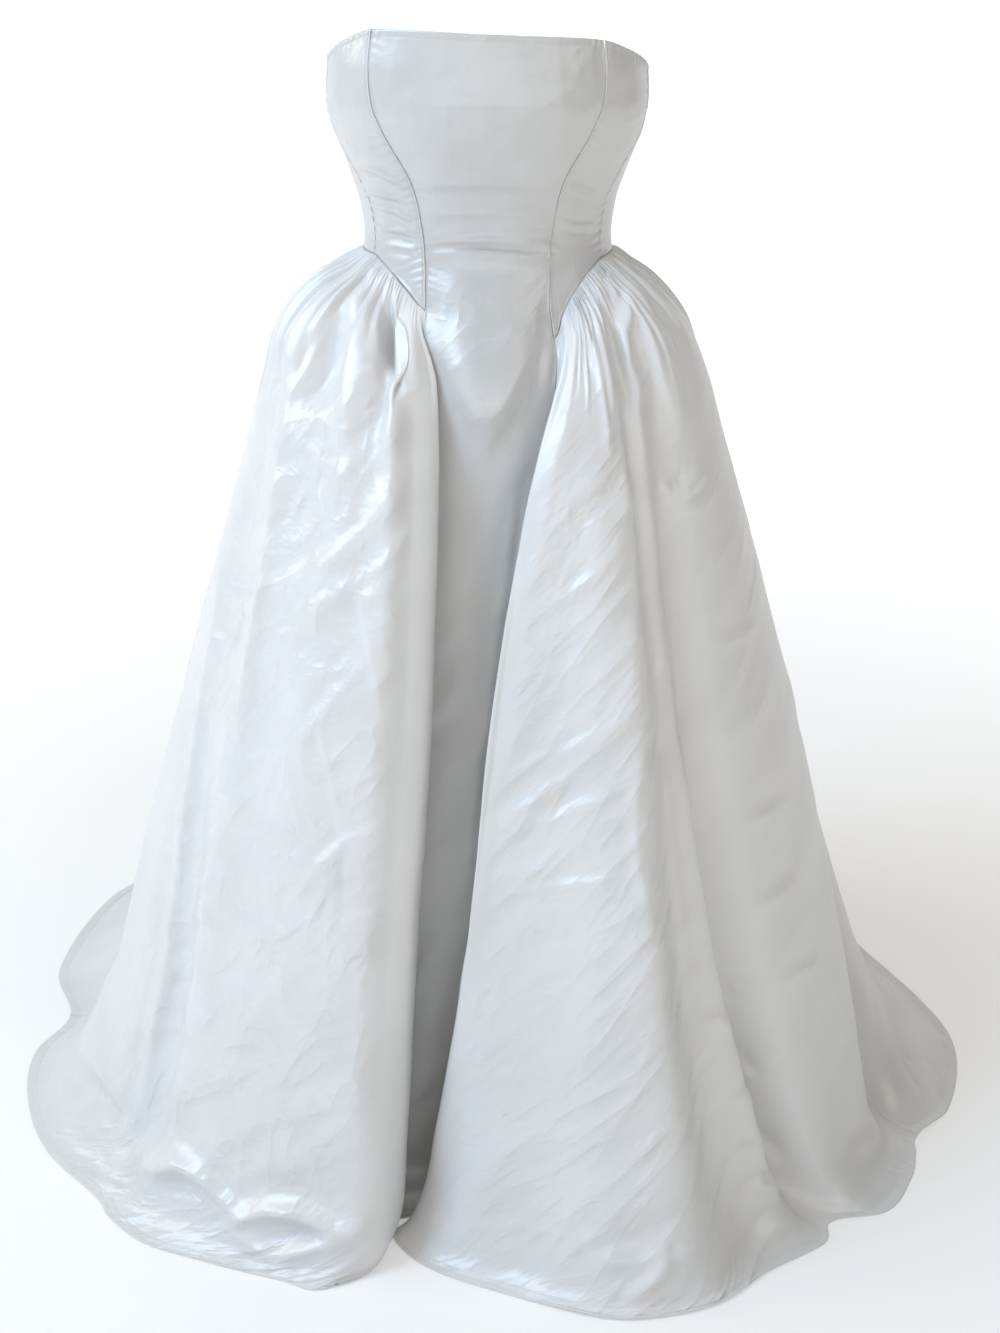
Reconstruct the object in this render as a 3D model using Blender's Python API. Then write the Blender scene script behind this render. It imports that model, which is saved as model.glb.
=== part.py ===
"""Strapless a-line gown: corset bodice, full gathered skirt with a short train.

Metres. The origin is the middle of the waist, 1.08 m above the floor. The front faces -Y,
the wearer's left is +X. Every panel is one thin wall with a 0.3 mm gap to its neighbours.
"""

import functools
import math

import bpy
import numpy as np

WAIST_HEIGHT = 1.08
BODICE_WALL = 0.0018
SKIRT_WALL = 0.0016
SEAM_GAP = 0.0003
FLOOR_CLEARANCE = 0.0024
BODICE_ROWS = 12
GATHER_CELLS = 4  # mesh cells across one gather
FADE_LEVEL = 0.10  # below this level the skirt has left the waist seam's exact line

# Rings of the bodice: height from the waist, half width, depth to the front, depth to the back.
BODICE = np.array([
    (-0.160, 0.1850, 0.138, 0.130),
    (-0.100, 0.1580, 0.118, 0.112),
    (-0.050, 0.1420, 0.105, 0.104),
    (-0.020, 0.1345, 0.097, 0.098),
    (0.000, 0.1330, 0.095, 0.095),
    (0.031, 0.1370, 0.099, 0.096),
    (0.073, 0.1505, 0.109, 0.099),
    (0.115, 0.1660, 0.120, 0.104),
    (0.140, 0.1695, 0.124, 0.106),
    (0.175, 0.1670, 0.123, 0.106),
    (0.214, 0.1590, 0.117, 0.104),
])

# Seams of the bodice: height from the waist, angle round the ring in degrees.
PRINCESS = np.array([
    (-0.105, 26.4), (-0.066, 26.3), (-0.040, 27.6), (-0.010, 29.2), (0.020, 30.3),
    (0.060, 31.6), (0.090, 35.6), (0.120, 40.4), (0.146, 44.0), (0.175, 45.6), (0.214, 46.5),
])
SIDE = np.array([
    (-0.030, 64.5), (0.000, 63.5), (0.030, 63.5), (0.060, 67.0), (0.086, 74.0),
    (0.115, 80.0), (0.150, 83.0), (0.180, 84.0),
])

# Neckline and waist seam: angle in degrees (the wearer's right is negative), height.
NECKLINE = np.array([
    (-180, 0.150), (-130, 0.156), (-95, 0.172), (-79, 0.187), (-62, 0.203), (-46, 0.2145),
    (-30, 0.2155), (0, 0.2130), (30, 0.2085), (46, 0.204), (62, 0.192), (79, 0.178),
    (95, 0.166), (130, 0.154), (180, 0.150),
])
WAIST_SEAM = np.array([
    (-180, -0.030), (-120, -0.021), (-90, -0.018), (-65, -0.018), (-52, -0.028),
    (-38, -0.046), (-26.3, -0.067), (-10, -0.080), (10, -0.088), (26.3, -0.096),
    (32, -0.072), (42, -0.047), (52, -0.032), (64, -0.022), (90, -0.020), (120, -0.022),
    (180, -0.030),
])

# Rings of the skirt without its folds: level, share of the seam's height that is used up,
# half width, depth to the front, depth to the back.
SKIRT = np.array([
    (0.00, 0.000, 0.134, 0.098, 0.100),
    (0.04, 0.033, 0.184, 0.134, 0.146),
    (0.08, 0.075, 0.222, 0.162, 0.182),
    (0.12, 0.117, 0.241, 0.184, 0.212),
    (0.20, 0.204, 0.271, 0.216, 0.254),
    (0.32, 0.340, 0.315, 0.259, 0.315),
    (0.45, 0.482, 0.359, 0.302, 0.380),
    (0.60, 0.631, 0.405, 0.345, 0.445),
    (0.73, 0.774, 0.449, 0.385, 0.510),
    (0.84, 0.887, 0.488, 0.415, 0.580),
    (0.91, 0.958, 0.522, 0.435, 0.650),
    (0.96, 0.989, 0.560, 0.448, 0.720),
    (1.00, 1.000, 0.600, 0.462, 0.800),
])

# Folds of the skirt, a row for each line from the front panel to the centre back:
# its angle in degrees and its reach, a share of the ring, at each of the fold levels.
FOLD_LEVELS = (0.0, 0.08, 0.20, 0.40, 0.60, 0.80, 0.90, 1.0)
FRONT_RIGHT = (
    ("panel_seam", (26.7, 19.9, 21.2, 18.0, 17.6, 19.1, 19.1, 15.0),
     (1, 0.821, 0.676, 0.641, 0.639, 0.608, 0.594, 0.672)),
    ("wall", (29.5, 16.6, 13.3, 12.4, 13.0, 13.3, 13.7, 14.8),
     (1, 0.915, 0.90, 0.90, 0.905, 0.865, 0.82, 0.77)),
    ("lip", (32.5, 20.3, 17.3, 15.7, 15.8, 15.0, 14.3, 14.8),
     (1, 0.98, 0.96, 0.952, 0.953, 0.94, 0.925, 0.88)),
    ("crest", (37, 24, 21, 19, 18.5, 17.5, 17, 18),
     (1, 1.035, 1.0, 0.985, 0.98, 0.97, 0.96, 0.95)),
    ("dark_pleat", (45, 30, 28, 27, 27, 26, 26, 24),
     (1, 0.93, 0.985, 0.995, 0.99, 0.98, 0.97, 0.955)),
    ("puff", (50, 39, 34.5, 36, 35, 34, 34, 34),
     (1, 1.035, 1.01, 1.0, 0.99, 0.98, 0.975, 0.967)),
    ("grey_pleat", (57, 52, 47, 45, 43, 42, 42, 42),
     (1, 0.955, 0.97, 0.985, 0.985, 0.985, 0.985, 0.985)),
    ("outer_ridge", (62, 61, 57, 54, 51, 49, 49, 49),
     (1, 1.01, 1.01, 1.0, 0.995, 0.99, 0.98, 0.97)),
    ("side_valley", (68, 70, 67, 65, 59, 56, 55, 53.5),
     (1, 0.985, 0.985, 0.965, 0.94, 0.92, 0.925, 0.95)),
    ("side_ridge", (75, 79, 76, 74, 69, 66, 66, 67),
     (1, 1.01, 1.0, 1.0, 0.99, 0.975, 0.97, 0.965)),
    ("side_fold", (82, 88, 88, 86, 84, 82, 82, 83),
     (1, 1.0, 1.0, 1.0, 1.0, 0.99, 0.985, 0.98)),
    ("side_end", (89, 97, 98, 96, 95, 94, 94, 93),
     (1, 1.0, 1.0, 1.0, 1.0, 1.0, 0.995, 0.99)),
    ("side_seam", (97, 107, 108, 107, 104, 102, 101, 99.5),
     (1, 0.99, 0.985, 0.975, 0.965, 0.96, 0.955, 0.955)),
)
BACK_RIGHT = (
    ("hip_ridge", (108, 117, 118, 117, 114, 111, 109, 107),
     (1, 1.01, 1.01, 1.01, 1.02, 1.035, 1.045, 1.05)),
    ("hip_fold", (119, 126, 128, 128, 126, 124, 124, 122),
     (1, 1.0, 1.0, 1.01, 1.02, 1.04, 1.07, 1.095)),
    ("back_valley", (130, 137, 139, 140, 139, 138, 138, 138),
     (1, 0.99, 0.97, 0.955, 0.95, 0.96, 0.99, 1.0)),
    ("train_ridge", (143, 149, 150, 152, 152, 151, 151, 151),
     (1, 1.01, 1.01, 1.03, 1.04, 1.04, 1.05, 1.05)),
    ("train_valley", (157, 161, 163, 164, 164, 164, 164, 164),
     (1, 0.99, 0.97, 0.95, 0.94, 0.95, 0.97, 0.98)),
    ("centre_back", (180, 180, 180, 180, 180, 180, 180, 180),
     (1, 1.0, 1.01, 1.02, 1.03, 1.03, 1.03, 1.02)),
)
FRONT_LEFT = (
    ("panel_seam", (26.7, 22.2, 26.0, 23.3, 19.8, 15.2, 12.3, 5.3),
     (1, 0.834, 0.675, 0.626, 0.585, 0.526, 0.501, 0.543)),
    ("wall", (29.0, 19.6, 16.5, 11.5, 7.5, 2.0, -1.0, -6.8),
     (1, 0.92, 0.80, 0.76, 0.73, 0.62, 0.58, 0.632)),
    ("lip", (31.5, 18.5, 8.0, 0.0, -3.5, -8.5, -11.0, -13.9),
     (1, 1.0, 0.95, 0.92, 0.87, 0.80, 0.75, 0.747)),
    ("lip_front", (34, 21.5, 11.5, 3.5, 0.0, -4.0, -6.0, -9.2),
     (1, 1.02, 0.96, 0.915, 0.87, 0.845, 0.83, 0.82)),
    ("lobe_crest", (37, 25.5, 19.3, 12.6, 9.1, 5.4, 4.3, 3.1),
     (1, 1.03, 0.985, 0.945, 0.922, 0.912, 0.91, 0.935)),
    ("lobe_front", (40, 29.5, 25.8, 20.6, 17.5, 15.6, 14.7, 13.9),
     (1, 1.035, 1.03, 1.03, 1.035, 1.04, 1.045, 1.045)),
    ("lobe_edge", (43.5, 34.4, 32.2, 27.1, 24.4, 24.3, 24.0, 23.6),
     (1, 1.035, 1.035, 1.055, 1.07, 1.08, 1.08, 1.045)),
    ("lobe_valley", (47.5, 39, 36, 33, 31, 32, 33, 32),
     (1, 0.975, 0.965, 0.97, 0.965, 0.965, 0.97, 0.99)),
    ("second_ridge", (51, 43.5, 40, 37, 37.5, 40.0, 41, 40.5),
     (1, 0.99, 0.975, 0.97, 0.965, 0.965, 0.965, 0.975)),
    ("deep_valley", (55, 49.5, 45, 42, 41.5, 43.5, 44.5, 44.5),
     (1, 0.955, 0.93, 0.90, 0.87, 0.85, 0.87, 0.93)),
    ("smooth_start", (58, 57, 54, 51, 50.5, 50, 50.5, 51),
     (1, 1.0, 0.975, 0.96, 0.955, 0.955, 0.965, 0.985)),
    ("smooth_middle", (66, 67, 66, 65, 64, 61, 60, 60),
     (1, 1.01, 1.0, 0.995, 0.985, 0.97, 0.965, 0.965)),
    ("smooth_end", (76, 79, 79, 79, 77, 72, 68, 66),
     (1, 1.01, 1.0, 1.0, 0.99, 0.975, 0.96, 0.94)),
    ("side_seam", (88, 92, 92, 92, 90, 84, 77, 71),
     (1, 0.985, 0.97, 0.95, 0.93, 0.90, 0.90, 0.925)),
)
BACK_LEFT = (
    ("hip_ridge", (97, 102, 102, 101, 99, 93, 86, 80),
     (1, 1.0, 1.0, 1.0, 0.99, 0.98, 0.975, 0.975)),
    ("hip_fold", (106, 112, 112, 111, 109, 105, 100, 96),
     (1, 1.01, 1.01, 1.01, 1.01, 1.01, 1.015, 1.017)),
    ("hip_end", (115, 121, 122, 121, 119, 116, 114, 112),
     (1, 1.0, 0.99, 0.985, 0.98, 0.97, 0.965, 0.962)),
    ("back_valley", (124, 130, 131, 132, 130, 128, 127, 126),
     (1, 0.99, 0.965, 0.95, 0.94, 0.94, 0.94, 0.95)),
    ("train_ridge", (136, 141, 142, 143, 143, 142, 141, 141),
     (1, 1.01, 1.02, 1.03, 1.04, 1.04, 1.05, 1.05)),
    ("train_valley", (151, 154, 156, 157, 158, 158, 158, 158),
     (1, 0.99, 0.97, 0.95, 0.94, 0.95, 0.97, 0.98)),
    ("centre_back", (180, 180, 180, 180, 180, 180, 180, 180),
     (1, 1.0, 1.01, 1.02, 1.03, 1.03, 1.03, 1.02)),
)

FOLDS = {-1: FRONT_RIGHT + BACK_RIGHT, 1: FRONT_LEFT + BACK_LEFT}
SIDE_SEAM = {-1: len(FRONT_RIGHT) - 1, 1: len(FRONT_LEFT) - 1}

# Gathers: level and height of one gather, in millimetres, for the big and the small ones.
GATHER_LEVELS = (0.0, 0.012, 0.028, 0.050, 0.080, 0.115, 0.155)
BIG_GATHERS = (0.0, 1.4, 2.8, 4.2, 4.6, 2.8, 0.6)
SMALL_GATHERS = (0.0, 1.3, 2.2, 2.6, 2.2, 1.0, 0.2)
BROAD_LEVELS = (0.20, 0.26, 0.33, 0.41, 0.50, 0.59, 0.68, 0.76, 0.83, 0.89, 0.935, 0.97, 1.0)

# Bulge of the front panel between its seams, from the waist seam's level down.
PANEL_BULGE = ((0.0, 0.0125), (0.04, 0.019), (0.08, 0.022), (0.12, 0.017), (0.20, 0.012),
               (0.40, 0.009), (0.70, 0.007), (1.0, 0.005))

SATIN = (0.86, 0.87, 0.89, 1.0)


def smooth(table_x, table_y, x):
    """A curve through the table with no overshoot."""
    table_x, table_y = np.asarray(table_x, float), np.asarray(table_y, float)
    step = np.diff(table_x)
    rise = np.diff(table_y) / step
    slope = np.zeros(len(table_x))
    slope[0], slope[-1] = rise[0], rise[-1]
    for i in range(1, len(table_x) - 1):
        if rise[i - 1] * rise[i] > 0:
            before, after = 2 * step[i] + step[i - 1], step[i] + 2 * step[i - 1]
            slope[i] = (before + after) / (before / rise[i - 1] + after / rise[i])
    x = np.clip(x, table_x[0], table_x[-1])
    i = np.clip(np.searchsorted(table_x, x) - 1, 0, len(step) - 1)
    t = (x - table_x[i]) / step[i]
    return (table_y[i] * (1 + 2 * t) * (1 - t) ** 2 + table_y[i + 1] * t * t * (3 - 2 * t)
            + step[i] * (slope[i] * t * (1 - t) ** 2 + slope[i + 1] * t * t * (t - 1)))


def through(knots, points, x):
    """A round curve through the points, which may turn back over itself."""
    slopes = np.gradient(points, knots, axis=0)
    i = np.clip(np.searchsorted(knots, x) - 1, 0, len(knots) - 2)
    step = (knots[i + 1] - knots[i])[:, None]
    t = ((x - knots[i]) / (knots[i + 1] - knots[i]))[:, None]
    return (points[i] * (1 + 2 * t) * (1 - t) ** 2 + points[i + 1] * t * t * (3 - 2 * t)
            + step * (slopes[i] * t * (1 - t) ** 2 + slopes[i + 1] * t * t * (t - 1)))


def bodice_point(angle, height):
    """The bodice at an angle in degrees and a height from the waist."""
    half, front, back = (smooth(BODICE[:, 0], BODICE[:, k], height) for k in (1, 2, 3))
    around = np.radians(angle)
    depth = np.where(np.cos(around) > 0, front, back)
    return np.stack([half * np.sin(around), -depth * np.cos(around),
                     height + 0 * around], axis=-1)


def bodice_normal(angle, height):
    """The outward direction of the bodice, from small steps along it."""
    along = bodice_point(angle + 0.2, height) - bodice_point(angle - 0.2, height)
    upward = bodice_point(angle, height + 0.001) - bodice_point(angle, height - 0.001)
    normal = np.cross(along, upward)
    return normal / np.linalg.norm(normal, axis=-1)[..., None]


def bodice_panel(start, end, columns, rows):
    """Rows of points between two seams, each a function of height that gives an angle,
    the outward directions at both ends of each row, and the angles of the lowest row."""
    across = np.linspace(0, 1, columns + 1)
    grid, ends = [], []
    for share in np.linspace(0, 1, rows + 1):
        height = np.zeros(columns + 1)
        for _ in range(8):
            angle = start(height) + (end(height) - start(height)) * across
            low = smooth(WAIST_SEAM[:, 0], WAIST_SEAM[:, 1], angle) + SEAM_GAP / 2
            top = smooth(NECKLINE[:, 0], NECKLINE[:, 1], angle)
            height = top + (low - top) * share
        grid.append(bodice_point(angle, height))
        ends.append(bodice_normal(angle, height)[[0, -1]])
    return grid, ends, angle


def seam(table, side, shift):
    """The angle of a seam against height, moved by half of the gap."""
    def angle(height):
        half = smooth(BODICE[:, 0], BODICE[:, 1], height)
        gap = np.degrees(SEAM_GAP / 2 / half) * shift
        if table is None:
            return side * (180 + gap) + 0 * height
        return side * (smooth(table[:, 0], table[:, 1], height) + gap)
    return angle


@functools.lru_cache(None)
def side_front(side):
    return bodice_panel(seam(PRINCESS, side, 1), seam(SIDE, side, -1), 10, BODICE_ROWS)


@functools.lru_cache(None)
def side_back(side):
    return bodice_panel(seam(SIDE, side, 1), seam(None, side, -1), 18, BODICE_ROWS)


def waist_line(side, angle):
    """Points on the bodice's lower edge, where the skirt hangs from it."""
    panels = side_front(side), side_back(side)
    edge = np.concatenate([rows[-1] for rows, _, _ in panels])
    around = np.abs(np.concatenate([angles for _, _, angles in panels]))
    line = np.stack([np.interp(np.abs(angle), around, edge[:, k]) for k in range(3)], axis=1)
    line[:, 2] -= SEAM_GAP * 1.4
    return line


def fold_points(side, level):
    """The points of the fold lines at one level, and the seam angle of each line."""
    points, seam_angles = [], []
    drop, half, front, back = (float(smooth(SKIRT[:, 0], SKIRT[:, k], level)) for k in (1, 2, 3, 4))
    for _, angles, reaches in FOLDS[side]:
        around = math.radians(float(smooth(FOLD_LEVELS, angles, level)))
        reach = float(smooth(FOLD_LEVELS, reaches, level))
        depth = front if math.cos(around) > 0 else back
        seam_height = float(smooth(WAIST_SEAM[:, 0], WAIST_SEAM[:, 1], side * angles[0]))
        height = (WAIST_HEIGHT + seam_height) * (1 - drop)
        points.append((side * reach * half * math.sin(around),
                       -reach * depth * math.cos(around), height - WAIST_HEIGHT))
        seam_angles.append(side * angles[0])
    return np.array(points), np.array(seam_angles)


@functools.lru_cache(None)
def fold_knots(side):
    """Positions of the lines across the cloth, from their distances low on the skirt."""
    total = 0
    for level in (0.12, 0.35, 0.6, 0.85):
        steps = np.linalg.norm(np.diff(fold_points(side, level)[0], axis=0), axis=1)
        total = total + steps / steps.sum()
    return np.concatenate([[0], np.cumsum(total)]) / total.sum()


def skirt_row(side, level, across):
    """Points of one half of the skirt at a level, from the front panel to the centre back."""
    knots = fold_knots(side)
    points, seam_angles = fold_points(side, level)
    row = through(knots, points, across)
    if level < FADE_LEVEL:
        at_seam = fold_points(side, 0.0)[0]
        angle = np.interp(across, knots, seam_angles)
        exact = waist_line(side, angle)
        fade = (1 - level / FADE_LEVEL) ** 1.5
        row = row + (exact - through(knots, at_seam, across)) * fade
    row[:, 2] = np.maximum(row[:, 2], FLOOR_CLEARANCE - WAIST_HEIGHT)
    return row


def skirt_normal(side, level, across):
    """The outward direction of the plain skirt, from small steps along it."""
    beside = skirt_row(side, level, np.clip(across + 0.003, 0, 1))
    beside -= skirt_row(side, level, np.clip(across - 0.003, 0, 1))
    below = skirt_row(side, min(level + 0.004, 1), across)
    below -= skirt_row(side, max(level - 0.004, 0), across)
    normal = np.cross(beside, below) if side < 0 else np.cross(below, beside)
    normal[across >= 1, 0] = 0
    return normal / np.linalg.norm(normal, axis=1)[:, None]


def row_faces(above, below, first_above, first_below):
    """Triangles between two rows; the lower one may have half as many cells."""
    faces = []
    if above == below:
        for j in range(above - 1):
            a, b, c, d = first_above + j, first_above + j + 1, first_below + j + 1, first_below + j
            faces += [(a, b, c), (a, c, d)] if j % 2 else [(a, b, d), (b, c, d)]
    else:
        for k in range(below - 1):
            a, b, c = (first_above + 2 * k + i for i in range(3))
            d, e = first_below + k, first_below + k + 1
            faces += [(a, b, d), (b, e, d), (b, c, e)]
    return faces


def surface_normals(points, faces):
    """Unit normals of a surface, turned to point away from the body's axis."""
    corners = points[faces]
    flat = np.cross(corners[:, 1] - corners[:, 0], corners[:, 2] - corners[:, 0])
    normals = np.zeros_like(points)
    for k in range(3):
        np.add.at(normals, faces[:, k], flat)
    normals /= np.linalg.norm(normals, axis=1)[:, None]
    return normals


def wall_object(name, rows, ends, thickness, outward_first, colour=SATIN):
    """One closed wall from rows of points on its outer face; ends holds the outward
    directions at both ends of each row, or None where the wall's own are right."""
    counts = [len(row) for row in rows]
    first = np.concatenate([[0], np.cumsum(counts)])
    outer = np.concatenate(rows)
    faces = []
    for i in range(len(rows) - 1):
        faces += row_faces(counts[i], counts[i + 1], first[i], first[i + 1])
    faces = np.array(faces)
    if not outward_first:
        faces = faces[:, ::-1]
    normals = surface_normals(outer, faces)
    for i, (at_start, at_end) in enumerate(ends):
        if at_start is not None:
            normals[first[i]] = at_start
        if at_end is not None:
            normals[first[i] + counts[i] - 1] = at_end
    inner = outer - normals * thickness
    inner[:, 2] = np.maximum(inner[:, 2], FLOOR_CLEARANCE - SKIRT_WALL - WAIST_HEIGHT)
    count = len(outer)
    rim = list(range(counts[0]))
    rim += [first[i] + counts[i] - 1 for i in range(1, len(rows))]
    rim += [first[-2] + j for j in range(counts[-1] - 2, -1, -1)]
    rim += [first[i] for i in range(len(rows) - 2, 0, -1)]
    sides = []
    for a, b in zip(rim, rim[1:] + rim[:1]):
        quad = (a, a + count, b + count, b)
        if not outward_first:
            quad = quad[::-1]
        sides += [(quad[0], quad[1], quad[2]), (quad[0], quad[2], quad[3])]
    triangles = np.concatenate([faces, faces[:, ::-1] + count, np.array(sides)])
    mesh = bpy.data.meshes.new(name)
    mesh.from_pydata(np.concatenate([outer, inner]).tolist(), [], triangles.tolist())
    mesh.validate()
    material = bpy.data.materials.new(name + "_satin")
    material.use_nodes = True
    shader = material.node_tree.nodes["Principled BSDF"]
    shader.inputs["Base Color"].default_value = colour
    shader.inputs["Roughness"].default_value = 0.42
    material.diffuse_color = colour
    mesh.materials.append(material)
    piece = bpy.data.objects.new(name, mesh)
    bpy.context.scene.collection.objects.link(piece)
    return piece


def moved_edges(row, at_start, at_end):
    """Draws the ends of a row in by half of the seam gap."""
    row = row.copy()
    for on, end, beside in ((at_start, 0, 1), (at_end, -1, -2)):
        if on:
            along = row[beside] - row[end]
            row[end] += along / np.linalg.norm(along) * SEAM_GAP / 2
    return row


def skirt_gore(name, side, back, gathers, heights):
    """A gathered gore, front or back, finer near the waist seam."""
    columns = gathers * GATHER_CELLS
    middle = fold_knots(side)[SIDE_SEAM[side]]
    across = np.linspace(middle, 1, columns + 1) if back else np.linspace(0, middle, columns + 1)
    turn = np.arange(columns + 1)
    wave = np.sin(turn * 2 * math.pi / GATHER_CELLS)
    uneven = 1 + 0.35 * np.sin(turn // GATHER_CELLS * 2.4 + side)
    fade = np.clip((np.minimum(turn, columns - turn) - 2) / 8, 0, 1)
    rows, ends = [], []
    for level, height in zip(GATHER_LEVELS + BROAD_LEVELS, heights + (0,) * len(BROAD_LEVELS)):
        share = across if level in GATHER_LEVELS else across[::2]
        row, normal = skirt_row(side, level, share), skirt_normal(side, level, share)
        if level in GATHER_LEVELS:
            row = row + normal * (wave * uneven * fade * height / 1000)[:, None]
        rows.append(moved_edges(row, True, True))
        ends.append((normal[0] if back else None, normal[-1]))
    wall_object(name, rows, ends, SKIRT_WALL, side < 0)


def front_panel(name):
    """The one piece from the neckline to the hem, at the bottom of the front pleat."""
    columns = 12
    share = np.linspace(0, 1, columns + 1)
    rows, ends, _ = bodice_panel(seam(PRINCESS, -1, -1), seam(PRINCESS, 1, -1), columns, BODICE_ROWS)
    dome = 1 - (2 * share - 1) ** 2
    for level in GATHER_LEVELS[1:] + BROAD_LEVELS:
        right, left = (skirt_row(side, level, np.zeros(1))[0] for side in (-1, 1))
        row = right + (left - right) * share[:, None]
        row[:, 1] -= dome * np.interp(level, *zip(*PANEL_BULGE))
        rows.append(moved_edges(row, True, True))
        ends.append((None, None))
    wall_object(name, rows, ends, SKIRT_WALL, False)


def main():
    for thing in list(bpy.data.objects):
        bpy.data.objects.remove(thing)
    front_panel("front_panel")
    for word, side in (("right", -1), ("left", 1)):
        rows, ends, _ = side_front(side)
        wall_object("bodice_side_front_" + word, rows, ends, BODICE_WALL, side < 0)
        rows, ends, _ = side_back(side)
        wall_object("bodice_back_" + word, rows, ends, BODICE_WALL, side < 0)
    skirt_gore("skirt_front_right", -1, False, 13, BIG_GATHERS)
    skirt_gore("skirt_front_left", 1, False, 15, SMALL_GATHERS)
    skirt_gore("skirt_back_right", -1, True, 10, SMALL_GATHERS)
    skirt_gore("skirt_back_left", 1, True, 10, SMALL_GATHERS)


main()
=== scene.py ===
import math

import bpy
import numpy as np
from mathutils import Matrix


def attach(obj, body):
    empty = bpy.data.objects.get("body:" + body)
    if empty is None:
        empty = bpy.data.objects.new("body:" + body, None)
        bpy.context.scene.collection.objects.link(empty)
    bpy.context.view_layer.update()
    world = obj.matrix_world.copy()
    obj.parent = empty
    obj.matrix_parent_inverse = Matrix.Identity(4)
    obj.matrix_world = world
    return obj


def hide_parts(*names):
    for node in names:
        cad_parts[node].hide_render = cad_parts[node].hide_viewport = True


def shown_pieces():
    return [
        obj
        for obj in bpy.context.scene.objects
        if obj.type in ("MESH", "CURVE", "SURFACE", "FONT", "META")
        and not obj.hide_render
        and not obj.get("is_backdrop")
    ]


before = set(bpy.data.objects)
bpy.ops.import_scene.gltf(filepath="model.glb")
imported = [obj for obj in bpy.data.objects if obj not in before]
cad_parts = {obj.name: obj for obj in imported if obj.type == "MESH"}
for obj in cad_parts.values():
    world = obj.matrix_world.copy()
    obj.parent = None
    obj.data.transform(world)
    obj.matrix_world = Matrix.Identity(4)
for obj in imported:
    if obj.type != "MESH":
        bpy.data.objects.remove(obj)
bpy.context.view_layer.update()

# The gown's own measures, as in the solids, but the gap at the seams is narrower. Metres.
gown = {
    "waistHeight": 1.08,
    "bodiceWall": 0.0018,
    "skirtWall": 0.0016,
    "seamGap": 0.0001,
    "floorClearance": 0.0024,
    "fadeLevel": 0.10,
}

# Rings of the bodice: height from the waist, half width, depth to the front, depth to the back.
bodiceRings = np.array([
    (-0.160, 0.1850, 0.138, 0.130), (-0.100, 0.1580, 0.118, 0.112),
    (-0.050, 0.1420, 0.105, 0.104), (-0.020, 0.1345, 0.097, 0.098),
    (0.000, 0.1330, 0.095, 0.095), (0.031, 0.1370, 0.099, 0.096),
    (0.073, 0.1505, 0.109, 0.099), (0.115, 0.1660, 0.120, 0.104),
    (0.140, 0.1695, 0.124, 0.106), (0.175, 0.1670, 0.123, 0.106),
    (0.214, 0.1590, 0.117, 0.104),
])

# Seams of the bodice: height from the waist, angle round the ring.
princessSeam = np.array([
    (-0.105, 26.4), (-0.066, 26.3), (-0.040, 27.6), (-0.010, 29.2), (0.020, 30.3),
    (0.060, 31.6), (0.090, 35.6), (0.120, 40.4), (0.146, 44.0), (0.175, 45.6), (0.214, 46.5),
])
sideSeam = np.array([
    (-0.030, 64.5), (0.000, 63.5), (0.030, 63.5), (0.060, 67.0), (0.086, 74.0),
    (0.115, 80.0), (0.150, 83.0), (0.180, 84.0),
])

# Neckline and waist seam: angle, the wearer's right is negative, and height.
neckline = np.array([
    (-180, 0.150), (-130, 0.156), (-95, 0.172), (-79, 0.187), (-62, 0.203), (-46, 0.2145),
    (-30, 0.2155), (0, 0.2130), (30, 0.2085), (46, 0.204), (62, 0.192), (79, 0.178),
    (95, 0.166), (130, 0.154), (180, 0.150),
])
waistSeam = np.array([
    (-180, -0.030), (-120, -0.021), (-90, -0.018), (-65, -0.018), (-52, -0.028),
    (-38, -0.046), (-26.3, -0.067), (-10, -0.080), (10, -0.088), (26.3, -0.096),
    (32, -0.072), (42, -0.047), (52, -0.032), (64, -0.022), (90, -0.020), (120, -0.022),
    (180, -0.030),
])

# Rings of the skirt without its folds: level, share of the seam's height used up,
# half width, depth to the front, depth to the back.
skirtRings = np.array([
    (0.00, 0.000, 0.134, 0.098, 0.100), (0.04, 0.033, 0.184, 0.134, 0.146),
    (0.08, 0.075, 0.222, 0.162, 0.182), (0.12, 0.117, 0.241, 0.184, 0.212),
    (0.20, 0.204, 0.271, 0.216, 0.254), (0.32, 0.340, 0.315, 0.259, 0.315),
    (0.45, 0.482, 0.359, 0.302, 0.380), (0.60, 0.631, 0.405, 0.345, 0.445),
    (0.73, 0.774, 0.449, 0.385, 0.510), (0.84, 0.887, 0.488, 0.415, 0.580),
    (0.91, 0.958, 0.522, 0.435, 0.650), (0.96, 0.989, 0.560, 0.448, 0.720),
    (1.00, 1.000, 0.600, 0.462, 0.800),
])

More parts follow.
